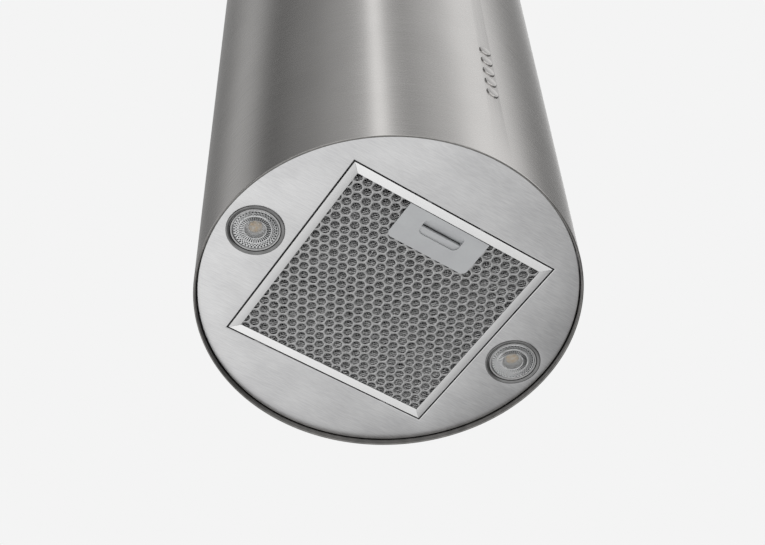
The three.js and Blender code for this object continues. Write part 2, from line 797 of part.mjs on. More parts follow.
// The lamp's cable climbs the tube's side, passes the carrier plate and reaches the electronics box.
function lampCable(side) {
  const start = lampBack + clearance + 0.2 + socketHeight + clearance;
  const boxZ = boxFloor + 14;
  const points = [
    [lampOffset, 0, start], [lampOffset + 1, 0, start + 20], [cableHoleX - 3, 2, start + 70],
    [cableHoleX, 8, carrierHeight - 60], [cableHoleX, cableHoleY, carrierHeight - 20],
    [cableHoleX, cableHoleY, carrierTop + 2], [cableHoleX - 8, 24, carrierTop + 13],
    [135, 58, boxZ - 2], [98, 90, boxZ], [boxHalfWidth + 22, 114, boxZ], [boxHalfWidth + 10, 120, boxZ],
    [boxHalfWidth + clearance, 120, boxZ],
  ];
  const curve = new THREE.CatmullRomCurve3(points.map(([x, y, z]) => new THREE.Vector3(side * x, y, z)));
  return tubeAlong(curve, cableRadius, 6, 24);
}

// ---- grease filter: mitred rails, sheets, handle and latch ----

function frontRail() {
  const y0 = -filterHalf;
  const z0 = panelRecess;
  const z1 = filterTop;
  const channel = [
    [y0, z0], [y0 + railWidth, z0], [y0 + railWidth, z0 + railWall], [y0 + railWall, z0 + railWall],
    [y0 + railWall, z1 - railWall], [y0 + railTopLip, z1 - railWall], [y0 + railTopLip, z1], [y0, z1],
  ];
  const half = filterHalf - 0.2;
  const mitre = [
    [-half, y0], [half, y0], [half - railWidth - 1, y0 + railWidth + 1], [-half + railWidth + 1, y0 + railWidth + 1],
  ];
  const wedge = slab(mitre.map(([x, y]) => new THREE.Vector2(x, y)), [], z0 - 1, z1 + 1);
  return overlap(bar(channel, -filterHalf, filterHalf), wedge);
}

// The front rail has two slots that the latch's arms reach through.
function latchRail() {
  return cut(frontRail(), ...[-1, 1].map((side) => latchSlot(side, -filterHalf - 1, -filterHalf + railWall + 0.5, 0.5)));
}

// The rear rail has two lugs that hook over the edge of the cut-out.
function lugRail() {
  const lugZ = hingeZ + 0.5;
  const lugs = [-1, 1].map((side) => block(
    [side * lugOffset - lugWidth / 2, filterHalf - railWall / 2, lugZ],
    [side * lugOffset + lugWidth / 2, hingeY + lugReach, lugZ + lugThickness],
  ));
  return join(quarterTurn(frontRail(), 2), ...lugs);
}

const sheetHalf = filterHalf - railWall - clearance;
const notchHalf = latchHalfWidth + 10;
const notchRear = springTabY + springTabThickness + clearance;

// A flat layer of the filter, cut away behind the handle.
function notchedLayer(z0, thickness) {
  const layer = block([-sheetHalf, -sheetHalf, z0], [sheetHalf, sheetHalf, z0 + thickness]);
  return cut(layer, block([-notchHalf, -sheetHalf - 1, z0 - 1], [notchHalf, notchRear, z0 + thickness + 1]));
}

function backSheet() {
  return block([-sheetHalf, -sheetHalf, backSheetZ], [sheetHalf, sheetHalf, backSheetZ + backSheetThickness]);
}

// The handle plate has a pill-shaped hole over a sloping finger pocket, and a tab that seats the spring.
function handlePlate() {
  const halfWidth = handleWidth / 2;
  const plateTop = handleZ + handleThickness;
  const outline = roundedRectangle(-halfWidth, handleFront, halfWidth, handleRear, [0, 0, handleCorner, handleCorner], 4);
  const pillFront = handleFront + pillSetback;
  const pill = roundedRectangle(
    -pillWidth / 2, pillFront, pillWidth / 2, pillFront + pillDepth,
    [handleCorner, handleCorner, handleCorner, handleCorner], 3,
  );
  const plate = slab(outline, [], handleZ, plateTop);
  const pocketWall = 1;
  const pocketEnd = tongueY - clearance;
  const pocketHalf = pillWidth / 2 + 0.6;
  const deepest = plateTop + pocketDepth;
  const ramp = [[pillFront - 0.6, plateTop], [pocketEnd + 1, plateTop], [pocketEnd + 1, deepest], [pocketEnd, deepest]];
  const shell = [
    [pillFront - 3, plateTop - 0.5], [pocketEnd, plateTop - 0.5], [pocketEnd, deepest + pocketWall],
    [pocketEnd - 1, deepest + pocketWall],
  ];
  const springTab = block(
    [-5, springTabY, plateTop - 0.5],
    [5, springTabY + springTabThickness, plateTop + latchThickness + 0.9],
  );
  const whole = join(plate, bar(shell, -pocketHalf - pocketWall, pocketHalf + pocketWall), springTab);
  return cut(whole, bar(ramp, -pocketHalf, pocketHalf), slab(pill, [], handleZ - 1, plateTop + 0.01));
}

// The latch is a bar whose front edge shows in the handle, with an arm at each side that
// stops just short of the cut-out's flange.
function latchSlider() {
  const [z0, z1] = [latchZ, latchZ + latchThickness];
  const noseY = -cutOutHalf + clearance;
  const crossBar = block([-latchHalfWidth, tongueY, z0], [latchHalfWidth, tongueY + tongueDepth, z1]);
  const arms = [-1, 1].map((side) => {
    const middle = side * (latchHalfWidth - latchArmWidth / 2);
    return block([middle - latchArmWidth / 2, noseY, z0], [middle + latchArmWidth / 2, tongueY + 1, z1]);
  });
  return join(crossBar, ...arms);
}

class Helix extends THREE.Curve {
  getPoint(t, target = new THREE.Vector3()) {
    const angle = t * springTurns * 2 * Math.PI;
    const length = springLength - springWire;
    return target.set(springRadius * Math.cos(angle), springWire / 2 + t * length, springRadius * Math.sin(angle));
  }
}

function latchSpring() {
  const y0 = tongueY + tongueDepth + clearance;
  const middle = latchZ + latchThickness / 2;
  return tubeAlong(new Helix(), springWire / 2, 5, springTurns * 8).translate(0, y0, middle);
}

// ---- assembly ----

const group = new THREE.Group();
const quarters = [0, 1, 2, 3];

addPiece(group, 'ceiling_plate', ceilingPlate(), 'galvanised');
addPiece(group, 'upper_tube', upperTube(), 'brushedSteel');
quarters.forEach((quarter) => addPiece(group, `upper_post_${quarter + 1}`, upperPost(quarter), 'galvanised'));

const hood = new THREE.Group();
hood.position.z = -restDrop;
group.add(hood);

addPiece(hood, 'lower_tube', lowerTube(), 'brushedSteel');
addPiece(hood, 'bottom_panel', bottomPanel(), 'panelSteel');
addPiece(hood, 'carrier_plate', carrierPlate(), 'galvanised');
quarters.forEach((quarter) => {
  addPiece(hood, `lower_post_${quarter + 1}`, lowerPost(quarter), 'galvanised');
  addPiece(hood, `height_bolt_${quarter + 1}`, heightBolt(quarter), 'springSteel');
});

addPiece(hood, 'scroll_housing_front', scrollHalf(-1), 'greyPlastic');
addPiece(hood, 'scroll_housing_rear', scrollHalf(1), 'greyPlastic');
addPiece(hood, 'fan_wheel', fanWheel(), 'blackPlastic');
addPiece(hood, 'motor_shaft', motorShaft(), 'springSteel');
addPiece(hood, 'motor_can', motorCan(), 'galvanised');
addPiece(hood, 'motor_stator', motorStator(), 'copper');
addPiece(hood, 'motor_bearing_front', bearing(motorStart + clearance), 'springSteel');
addPiece(hood, 'motor_bearing_rear', bearing(motorEnd - clearance - bearingWidth), 'springSteel');
addPiece(hood, 'motor_bracket', motorBracket(), 'galvanised');

addPiece(hood, 'outlet_collar', outletCollar(), 'blackPlastic');
addPiece(hood, 'flap_pin', flapPin(), 'springSteel');
addPiece(hood, 'flap_left', flap(-1), 'blackPlastic');
addPiece(hood, 'flap_right', flap(1), 'blackPlastic');

addPiece(hood, 'electronics_box', electronicsBox(), 'greyPlastic');
addPiece(hood, 'electronics_cover', electronicsCover(), 'greyPlastic');
addPiece(hood, 'cable_gland', cableGland(), 'blackPlastic');

addPiece(hood, 'button_housing', buttonHousing(), 'blackPlastic');
addPiece(hood, 'switch_board', switchBoard(), 'circuitBoard');
buttonIndexes.forEach((index) => addPiece(hood, `push_button_${index + 1}`, pushButton(index), 'brushedSteel'));

[['left', -1], ['right', 1]].forEach(([name, side]) => {
  const lamp = new THREE.Group();
  lamp.position.x = side * lampOffset;
  hood.add(lamp);
  addPiece(lamp, `lamp_trim_${name}`, lampTrim(), 'chrome');
  addPiece(lamp, `lamp_body_${name}`, lampBody(), 'aluminium');
  addPiece(lamp, `lamp_lens_${name}`, lampLens(), 'lens');
  addPiece(lamp, `lamp_socket_${name}`, lampSocket(), 'ceramic');
  addPiece(hood, `lamp_cable_${name}`, lampCable(side), 'cableJacket');
});

addPiece(hood, 'filter_rail_front', latchRail(), 'aluminium');
addPiece(hood, 'filter_rail_right', quarterTurn(frontRail(), 1), 'aluminium');
addPiece(hood, 'filter_rail_rear', lugRail(), 'aluminium');
addPiece(hood, 'filter_rail_left', quarterTurn(frontRail(), 3), 'aluminium');
addPiece(hood, 'filter_face_sheet', notchedLayer(faceSheetZ, faceSheetThickness), 'aluminium');
addPiece(hood, 'filter_mesh_pack', notchedLayer(meshZ, meshThickness), 'galvanised');
addPiece(hood, 'filter_back_sheet', backSheet(), 'aluminium');
addPiece(hood, 'handle_plate', handlePlate(), 'satinHandle');
addPiece(hood, 'latch_slider', latchSlider(), 'satinHandle');
addPiece(hood, 'latch_spring', latchSpring(), 'springSteel');

export default group;
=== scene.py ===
# Island range hood: finished surfaces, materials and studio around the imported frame.
# Metres, +Z up, the origin at the ceiling. Sizes in the dictionaries are millimetres.
import math

import bmesh
import bpy
from mathutils import Matrix, Vector


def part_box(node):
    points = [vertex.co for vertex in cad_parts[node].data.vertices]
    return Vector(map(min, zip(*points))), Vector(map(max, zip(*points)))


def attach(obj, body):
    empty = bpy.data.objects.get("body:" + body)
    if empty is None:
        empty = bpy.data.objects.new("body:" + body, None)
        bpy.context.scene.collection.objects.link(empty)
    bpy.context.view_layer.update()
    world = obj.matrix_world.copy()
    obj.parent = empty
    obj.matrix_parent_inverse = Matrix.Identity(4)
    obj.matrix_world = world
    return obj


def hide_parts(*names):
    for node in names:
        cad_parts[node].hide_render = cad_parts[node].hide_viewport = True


mm = 0.001
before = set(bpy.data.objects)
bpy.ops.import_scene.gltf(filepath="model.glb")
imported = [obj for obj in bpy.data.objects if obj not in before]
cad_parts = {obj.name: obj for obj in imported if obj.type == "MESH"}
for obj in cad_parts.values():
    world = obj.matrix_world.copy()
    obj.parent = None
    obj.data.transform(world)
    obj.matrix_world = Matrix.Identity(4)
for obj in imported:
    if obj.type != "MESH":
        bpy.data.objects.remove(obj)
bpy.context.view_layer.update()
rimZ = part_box("lower_tube")[0].z
print("frame loaded:", len(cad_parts), "nodes")


cameraSetup = {
    "place": (-538.3, -727.8, -1915.2),
    "target": (-26.3, -27.5, -750.0),
    "roll": -0.052,  # radians
    "lens": 69.45,
    "clipEnd": 50,  # metres
}


def makeCamera(setup):
    place = Vector(setup["place"]) * mm
    forward = (Vector(setup["target"]) * mm - place).normalized()
    side = forward.cross(Vector((0, 0, 1))).normalized()
    above = side.cross(forward)
    turn, lean = math.cos(setup["roll"]), math.sin(setup["roll"])
    right = side * turn + above * lean
    upward = above * turn - side * lean
    data = bpy.data.cameras.new("camera")
    data.lens = setup["lens"]
    data.clip_end = setup["clipEnd"]
    camera = bpy.data.objects.new("camera", data)
    bpy.context.scene.collection.objects.link(camera)
    facing = Matrix((right, upward, -forward)).transposed().to_4x4()
    camera.matrix_world = Matrix.Translation(place) @ facing
    bpy.context.scene.camera = camera


makeCamera(cameraSetup)
print("camera placed")


# distances in mm within which two points are taken as one
closeness = {"merge": 0.002, "match": 0.01, "punchedMerge": 0.02}


def clearSelection():
    if bpy.context.object and bpy.context.object.mode != "OBJECT":
        bpy.ops.object.mode_set(mode="OBJECT")
    bpy.ops.object.select_all(action="DESELECT")


def selectOnly(piece):
    clearSelection()
    bpy.context.view_layer.objects.active = piece
    piece.select_set(True)


def openMesh(piece):
    # into edit mode, with the whole mesh selected
    selectOnly(piece)
    bpy.ops.object.mode_set(mode="EDIT")
    bpy.ops.mesh.select_all(action="SELECT")


def closeMesh():
    bpy.ops.object.mode_set(mode="OBJECT")


def startPiece(name, addPrimitive, **settings):
    # a new primitive, left in edit mode with all of it selected
    clearSelection()
    addPrimitive(**settings)
    piece = bpy.context.object
    piece.name = name
    piece.data.name = name
    bpy.ops.object.transform_apply(location=True, rotation=True, scale=True)
    bpy.ops.object.mode_set(mode="EDIT")
    bpy.ops.mesh.select_mode(type="VERT")
    bpy.ops.mesh.select_all(action="SELECT")
    return piece


def pick(piece, kind, test):
    # selects the vertices, edges or faces that pass the test
    bpy.ops.mesh.select_mode(type={"verts": "VERT", "edges": "EDGE", "faces": "FACE"}[kind])
    bpy.ops.mesh.select_all(action="DESELECT")
    mesh = bmesh.from_edit_mesh(piece.data)
    for element in getattr(mesh, kind):
        if test(element):
            element.select_set(True)
    mesh.select_flush_mode()
    bmesh.update_edit_mesh(piece.data)


def drawOutline(name, points, closing):
    # a vertex extruded from point to point; closing is "face", "edge" or "open"
    piece = startPiece(name, bpy.ops.mesh.primitive_plane_add, size=mm, location=points[0])
    bpy.ops.mesh.merge(type="CENTER")
    for here, there in zip(points, points[1:]):
        step = Vector(there) - Vector(here)
        bpy.ops.mesh.extrude_region_move(TRANSFORM_OT_translate={"value": step})
    if closing == "edge":
        ends = (Vector(points[0]), Vector(points[-1]))
        near = closeness["match"] * mm
        pick(piece, "verts", lambda v: min((v.co - end).length for end in ends) < near)
    else:
        bpy.ops.mesh.select_all(action="SELECT")
    if closing != "open":
        bpy.ops.mesh.edge_face_add()
    return piece


def finishPiece(piece, smoothAngle=35):
    openMesh(piece)
    bpy.ops.mesh.remove_doubles(threshold=closeness["merge"] * mm)
    bpy.ops.mesh.normals_make_consistent(inside=False)
    closeMesh()
    bpy.ops.object.shade_smooth_by_angle(angle=math.radians(smoothAngle))
    return piece


def turnProfile(name, points, steps, closed=True, smoothAngle=35):
    # points are (radius, height) in mm, heights above the lower rim
    places = [(radius * mm, 0, rimZ + height * mm) for radius, height in points]
    piece = drawOutline(name, places, "edge" if closed else "open")
    bpy.ops.mesh.select_all(action="SELECT")
    bpy.ops.mesh.spin(steps=steps, angle=2 * math.pi, center=(0, 0, 0), axis=(0, 0, 1))
    return finishPiece(piece, smoothAngle)


def extrude(x, y, z):
    # extrudes what is selected, by distances in mm
    bpy.ops.mesh.extrude_region_move(TRANSFORM_OT_translate={"value": (x * mm, y * mm, z * mm)})


def raiseOutline(name, outline, z0, z1):
    # a flat outline of (x, y) in mm, raised from one height to another
    piece = drawOutline(name, [(x * mm, y * mm, rimZ + z0 * mm) for x, y in outline], "face")
    extrude(0, 0, z1 - z0)
    return finishPiece(piece)


def modify(piece, kind, **settings):
    selectOnly(piece)
    modifier = piece.modifiers.new(kind.lower(), kind)
    for key, value in settings.items():
        setattr(modifier, key, value)
    bpy.ops.object.modifier_apply(modifier=modifier.name)


def combine(piece, tools, operation="DIFFERENCE"):
    for tool in tools:
        modify(piece, "BOOLEAN", object=tool, operation=operation, solver="EXACT")
        bpy.data.objects.remove(tool)


def copyPiece(piece, name, move):
    # move is a matrix that goes into the copy's own mesh
    clearSelection()
    copy = bpy.data.objects.new(name, piece.data.copy())
    copy.data.name = name
    bpy.context.scene.collection.objects.link(copy)
    copy.data.transform(move)
    return copy


def softenEdges(piece, width, segments=2):
    modify(piece, "BEVEL", width=width * mm, segments=segments, limit_method="ANGLE",
           angle_limit=math.radians(30), harden_normals=False)


def arc(centre, radius, start, end, steps):
    # points on a round stretch, the angles in degrees
    angles = [math.radians(start + (end - start) * i / steps) for i in range(steps + 1)]
    return [(centre[0] + radius * math.cos(a), centre[1] + radius * math.sin(a)) for a in angles]


def roundedBox(x0, y0, x1, y1, radii, steps):
    # corner radii run from the lower left corner round; 0 leaves a sharp one
    corners = [(x0, y0, 1, 1), (x1, y0, -1, 1), (x1, y1, -1, -1), (x0, y1, 1, -1)]
    points = []
    for index, (x, y, inX, inY) in enumerate(corners):
        radius = radii[index]
        if radius == 0:
            points.append((x, y))
            continue
        centre = (x + inX * radius, y + inY * radius)
        start = 180 + 90 * index
        points += arc(centre, radius, start, start + 90, steps)
    return points


def place(piece, body, finish, *nodes):
    piece.data.materials.clear()
    piece.data.materials.append(finishes[finish]())
    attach(piece, body)
    if nodes:
        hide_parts(*nodes)


def toLinear(code):
    values = [int(code[i:i + 2], 16) / 255 for i in (1, 3, 5)]
    return tuple(v / 12.92 if v <= 0.04045 else ((v + 0.055) / 1.055) ** 2.4 for v in values) + (1,)


def addNode(tree, kind, settings=None, links=None):
    # adds one node; settings go to its sockets or properties, links to its sockets
    node = tree.nodes.new(kind)
    for key, value in (settings or {}).items():
        if isinstance(key, int) or key in node.inputs:
            node.inputs[key].default_value = value
        else:
            setattr(node, key, value)
    for key, socket in (links or {}).items():
        tree.links.new(socket, node.inputs[key])
    return node


def startMaterial(name, settings):
    # a new material that has only its surface shader and its output
    material = bpy.data.materials.new(name)
    material.use_nodes = True
    tree = material.node_tree
    tree.nodes.clear()
    shader = addNode(tree, "ShaderNodeBsdfPrincipled", settings)
    addNode(tree, "ShaderNodeOutputMaterial", links={"Surface": shader.outputs[0]})
    return material, tree, shader


def addPattern(tree, kind, size, settings=None, scale=(1, 1, 1)):
    # a texture with features of a size in mm, drawn in the piece's own metres
    coordinates = addNode(tree, "ShaderNodeTexCoord")
    mapping = addNode(tree, "ShaderNodeMapping", {"Scale": scale}, {"Vector": coordinates.outputs["Object"]})
    return addNode(tree, kind, {"Scale": 1 / (size * mm), **(settings or {})}, {"Vector": mapping.outputs[0]})


def fillRamp(ramp, stops):
    # stops are (position, linear colour) along a colour ramp; gives the ramp's colour output
    elements = ramp.color_ramp.elements
    while len(elements) < len(stops):
        elements.new(0.5)
    for element, (position, colour) in zip(elements, stops):
        element.position = position
        element.color = colour
    return ramp.outputs["Color"]


def dressShader(tree, shader, colour=None, gloss=None, relief=None):
    # each is a pattern with what it does: hex colours at its values, the roughness
    # between two of its values, or the height in mm that it raises the surface
    if colour:
        pattern, stops = colour
        ramp = addNode(tree, "ShaderNodeValToRGB", links={"Fac": pattern})
        shade = fillRamp(ramp, [(position, toLinear(code)) for position, code in stops])
        tree.links.new(shade, shader.inputs["Base Color"])
    if gloss:
        pattern, low, high, atLow, atHigh = gloss
        limits = {"From Min": low, "From Max": high, "To Min": atLow, "To Max": atHigh}
        roughness = addNode(tree, "ShaderNodeMapRange", limits, {"Value": pattern})
        tree.links.new(roughness.outputs["Result"], shader.inputs["Roughness"])
    if relief:
        pattern, depth = relief
        surface = addNode(tree, "ShaderNodeBump", {"Strength": 1.0, "Distance": depth * mm},
                          {"Height": pattern})
        tree.links.new(surface.outputs["Normal"], shader.inputs["Normal"])


made = {}
finishes = {}


def once(build):
    # lists a finish by name; its material is made at the first call only
    def get():
        if build.__name__ not in made:
            made[build.__name__] = build()
        return made[build.__name__]
    finishes[build.__name__] = get
    return get


def brushedMetal(name, look):
    # hairlines of a belt: long along the grain, a fraction of a millimetre across it
    material, tree, shader = startMaterial(name, {"Metallic": 1.0, "Anisotropic": look["stretch"]})
    tangent = addNode(tree, "ShaderNodeTangent", {"direction_type": "RADIAL", "axis": look["tangent"]})
    tree.links.new(tangent.outputs[0], shader.inputs["Tangent"])
    shader.inputs["Anisotropic Rotation"].default_value = look.get("turn", 0.0)
    lengths = [look["long"] if axis in look["grain"] else look["across"] for axis in "XYZ"]
    hairs = addPattern(tree, "ShaderNodeTexNoise", 1, {"Detail": 3.0, "Roughness": 0.6},
                       [1 / length for length in lengths])
    clouds = addPattern(tree, "ShaderNodeTexNoise", look["cloud"], {"Detail": 2.0})
    shades = []
    for pattern, low, high in ((hairs, 0.3, 0.7), (clouds, 0.35, 0.65)):
        ramp = addNode(tree, "ShaderNodeValToRGB", links={"Fac": pattern.outputs[0]})
        shades.append(fillRamp(ramp, [(low, toLinear(look["dark"])), (high, toLinear(look["light"]))]))
    blend = addNode(tree, "ShaderNodeMix", {"data_type": "RGBA", "Factor": 0.3}, {6: shades[0], 7: shades[1]})
    tree.links.new(blend.outputs[2], shader.inputs["Base Color"])
    dressShader(tree, shader, gloss=(hairs.outputs[0], 0.3, 0.7, look["rough"] - 0.05, look["rough"] + 0.05),
                relief=(hairs.outputs[0], look["depth"]))
    return material


@once
def tubeSteel():
    # 304 stainless, belt-brushed round the tube: upright soft streaks of light
    return brushedMetal("brushed_stainless_tube", {
        "dark": "#c3c1bf", "light": "#cfcdcb", "rough": 0.27, "stretch": 0.65, "tangent": "Z",
        "turn": 0.25, "grain": "XY", "long": 40, "across": 0.35, "cloud": 60, "depth": 0.004,
    })


@once
def panelSteel():
    # 304 stainless sheet, brushed from side to side: light spreads from front to back
    return brushedMetal("brushed_stainless_panel", {
        "dark": "#bcbcbd", "light": "#dadada", "rough": 0.33, "stretch": 0.5, "tangent": "X",
        "grain": "X", "long": 11, "across": 0.9, "cloud": 45, "depth": 0.005,
    })


@once
def railAlongXPaintedLight():
    # aluminium section, brushed along its length and clear anodised: paler than the steel, and painted
    # lighter than the side rails as painted light on the front and rear
    return brushedMetal("anodised_aluminium_rail_x_painted_light", {
        "dark": "#eeeeee", "light": "#f8f8f8", "rough": 0.36, "stretch": 0.3, "tangent": "X",
        "grain": "X", "long": 14, "across": 0.3, "cloud": 30, "depth": 0.003,
    })


@once
def railAlongYPaintedShade():
    # the same section on the filter's two sides, its grain along their length; painted darker and duller than
    # the front and rear copy, as painted shade
    return brushedMetal("anodised_aluminium_rail_y_painted_shade", {
        "dark": "#d6d6d6", "light": "#e0e0e0", "rough": 0.5, "stretch": 0.1, "tangent": "Y",
        "grain": "Y", "long": 14, "across": 0.3, "cloud": 30, "depth": 0.003,
    })


@once
def punchedSheet():
    # mill-finish aluminium, punched: fine rolling lines and slightly uneven gloss
    return brushedMetal("mill_finish_aluminium_punched", {
        "dark": "#8f8f8f", "light": "#b8b8b8", "rough": 0.34, "stretch": 0.2, "tangent": "X",
        "grain": "X", "long": 5, "across": 0.5, "cloud": 9, "depth": 0.006,
    })


def unevenMetal(name, look):
    # metal with soft patches of tone and roughness, and a fine grain in its surface
    material, tree, shader = startMaterial(name, {
        "Metallic": look.get("metallic", 1.0), "Alpha": look.get("alpha", 1.0),
    })
    spots = addPattern(tree, "ShaderNodeTexNoise", look["patch"], {"Detail": 4.0})
    grain = addPattern(tree, "ShaderNodeTexNoise", look["grain"], {"Detail": 2.0})
    dressShader(tree, shader, colour=(spots.outputs[0], [(0.3, look["dark"]), (0.7, look["light"])]),
                gloss=(grain.outputs[0], 0.3, 0.7, look["rough"] - 0.06, look["rough"] + 0.06),
                relief=(grain.outputs[0], look["depth"]))
    return material


@once
def paintedShadeInside():
    # the folded lip and the sheet's inner side, without hairlines: painted darker grey, partly the raw edge's
    # own tone and partly painted shade for the dark gap line round the lip
    return unevenMetal("stainless_inside_painted_shade", {
        "dark": "#6f6e6c", "light": "#82807e", "rough": 0.34, "patch": 9, "grain": 0.35, "depth": 0.003,
    })


@once
def expandedAluminium():
    # slit and stretched foil: bright twisted strands with dull oily patches between them
    return unevenMetal("expanded_aluminium_foil", {
        "dark": "#8a8a8a", "light": "#ffffff", "rough": 0.3, "patch": 1.0, "grain": 0.4, "depth": 0.03,
    })


@once
def satinPaint():
    # zinc die casting, sprayed satin silver: even grey, hardly any reflection
    return unevenMetal("satin_silver_painted_zinc", {
        "dark": "#c3c4c6", "light": "#cbcdce", "rough": 0.55, "metallic": 0.35, "patch": 25,
        "grain": 0.25, "depth": 0.003,
    })


@once
def plainSteel():
    # drawn steel with a zinc flash: grey, a little cloudy
    return unevenMetal("zinc_plated_steel", {
        "dark": "#8d8f91", "light": "#a9abac", "rough": 0.32, "patch": 6, "grain": 0.3, "depth": 0.004,
    })


@once
def trimNickel():
    # turned brass ring with satin nickel: dark and light bands of reflection
    return unevenMetal("satin_nickel_plated_ring", {
        "dark": "#6c6c6c", "light": "#7c7c7c", "rough": 0.24, "patch": 12, "grain": 0.3, "depth": 0.002,
    })


@once
def castAluminium():
    # die-cast lamp body with a fine blasted surface
    return unevenMetal("blasted_die_cast_aluminium", {
        "dark": "#a8a8a8", "light": "#b9b9b9", "rough": 0.42, "patch": 8, "grain": 0.35, "depth": 0.01,
    })


@once
def reflectorBowl():
    # aluminised bowl behind the lens: milky bright, faintly rippled
    return unevenMetal("aluminised_reflector", {
        "dark": "#e6e6e6", "light": "#fafafa", "rough": 0.3, "metallic": 0.2, "patch": 3, "grain": 0.8,
        "depth": 0.02,
    })


@once
def galvanisedSteel():
    # hot-dip galvanised sheet: crystals of zinc a few millimetres across, each its own grey
    material, tree, shader = startMaterial("hot_dip_galvanised_steel", {"Metallic": 0.9})
    crystals = addPattern(tree, "ShaderNodeTexVoronoi", 9, {"Randomness": 1.0})
    cell = addNode(tree, "ShaderNodeSeparateColor", links={0: crystals.outputs["Color"]})
    grain = addPattern(tree, "ShaderNodeTexNoise", 0.8, {"Detail": 3.0})
    dressShader(tree, shader, colour=(cell.outputs[0], [(0.0, "#8f9497"), (1.0, "#aeb3b5")]),
                gloss=(cell.outputs[1], 0, 1, 0.34, 0.5), relief=(grain.outputs[0], 0.01))
    return material


def mouldedPlastic(name, look):
    # spark-eroded mould texture: a fine leathery grain that breaks up the gloss
    material, tree, shader = startMaterial(name, {"Metallic": 0.0, "IOR": look["ior"]})
    texture = addPattern(tree, "ShaderNodeTexNoise", look["grain"], {"Detail": 4.0})
    flow = addPattern(tree, "ShaderNodeTexNoise", 35, {"Detail": 1.0})
    dressShader(tree, shader, colour=(flow.outputs[0], [(0.3, look["dark"]), (0.7, look["light"])]),
                gloss=(texture.outputs[0], 0.3, 0.7, look["rough"] - 0.07, look["rough"] + 0.07),
                relief=(texture.outputs[0], look["depth"]))
    return material


@once
def blackPlastic():
    # glass-filled polypropylene, moulded: matt black with a grey bloom
    return mouldedPlastic("moulded_black_polypropylene", {
        "dark": "#1d1e20", "light": "#292a2d", "rough": 0.5, "ior": 1.49, "grain": 0.5, "depth": 0.02,
    })


@once
def greyPlastic():
    # flame-retardant ABS, moulded: light grey, fine spark texture
    return mouldedPlastic("moulded_grey_abs", {
        "dark": "#8f9193", "light": "#9c9ea0", "rough": 0.46, "ior": 1.54, "grain": 0.4, "depth": 0.015,
    })


@once
def steatite():
    # pressed and fired lamp socket: chalky cream with faint speckles
    return mouldedPlastic("fired_steatite_ceramic", {
        "dark": "#ddd8cb", "light": "#ece8df", "rough": 0.48, "ior": 1.6, "grain": 0.9, "depth": 0.03,
    })


@once
def clearLens():
    # injection-moulded clear polycarbonate: see-through, bright on every prism edge
    material, tree, shader = startMaterial("moulded_clear_polycarbonate", {
        "Metallic": 0.0, "IOR": 1.585, "Alpha": 0.22,
    })
    haze = addPattern(tree, "ShaderNodeTexNoise", 1.2, {"Detail": 2.0})
    dressShader(tree, shader, colour=(haze.outputs[0], [(0.3, "#d5d8d9"), (0.7, "#f2f4f5")]),
                gloss=(haze.outputs[0], 0.3, 0.7, 0.06, 0.14))
    return material


@once
def paintedHighlightPrism():
    # the lens's ribs: painted highlight, a brighter and glossier copy of the lens standing for facets that
    # catch the room's light
    return unevenMetal("prism_facet_painted_highlight", {
        "dark": "#c9cacb", "light": "#f0f1f1", "rough": 0.16, "metallic": 0.7, "alpha": 0.75,
        "patch": 2.5, "grain": 0.8, "depth": 0.004,
    })


@once
def paintedShadePrism():
    # the ribs' other sides: painted shade, a near-black copy of the lens for facets that look into the dark
    # lamp
    return unevenMetal("prism_facet_painted_shade", {
        "dark": "#1f2021", "light": "#3a3c3d", "rough": 0.18, "metallic": 0.5, "alpha": 0.92,
        "patch": 2.5, "grain": 0.8, "depth": 0.004,
    })


@once
def ledPhosphor():
    # silicone with phosphor over the diodes: warm cream, orange towards one side, unlit
    material, tree, shader = startMaterial("phosphor_filled_silicone", {
        "Metallic": 0.0, "IOR": 1.41, "Roughness": 0.45,
    })
    blotch = addPattern(tree, "ShaderNodeTexNoise", 4.5, {"Detail": 1.0})
    dressShader(tree, shader, colour=(blotch.outputs[0], [(0.35, "#f8f1e6"), (0.68, "#f0d6b4")]))
    return material


@once
def circuitBoard():
    # glass-epoxy board under green solder mask, tinned pads in rows
    material, tree, shader = startMaterial("solder_masked_glass_epoxy", {"Metallic": 0.1, "IOR": 1.55})
    pads = addPattern(tree, "ShaderNodeTexVoronoi", 2.54, {"Randomness": 0.25})
    dressShader(tree, shader, colour=(pads.outputs["Distance"], [(0.2, "#c9cbc6"), (0.27, "#1f6b3d")]),
                gloss=(pads.outputs["Distance"], 0.2, 0.4, 0.25, 0.42))
    return material


@once
def copperWinding():
    # enamelled copper wire laid in turns: fine ridges, amber gloss
    material, tree, shader = startMaterial("enamelled_copper_winding", {"Metallic": 0.9})
    turns = addPattern(tree, "ShaderNodeTexWave", 2.2, {"Distortion": 1.5, "bands_direction": "Y"})
    dressShader(tree, shader, colour=(turns.outputs["Fac"], [(0.0, "#7d3f1e"), (1.0, "#cf8450")]),
                gloss=(turns.outputs["Fac"], 0, 1, 0.45, 0.3), relief=(turns.outputs["Fac"], 0.15))
    return material


@once
def cableJacket():
    # silicone hose drawn over glass braid: dull off-white with a diamond weave
    material, tree, shader = startMaterial("silicone_glass_braid", {
        "Metallic": 0.0, "IOR": 1.45, "Roughness": 0.6,
    })
    weave = addPattern(tree, "ShaderNodeTexVoronoi", 1.0, {"Randomness": 0.3}, (1, 1, 0.6))
    dressShader(tree, shader, colour=(weave.outputs["Distance"], [(0.1, "#e6e3da"), (0.6, "#bcb8ad")]),
                relief=(weave.outputs["Distance"], 0.1))
    return material


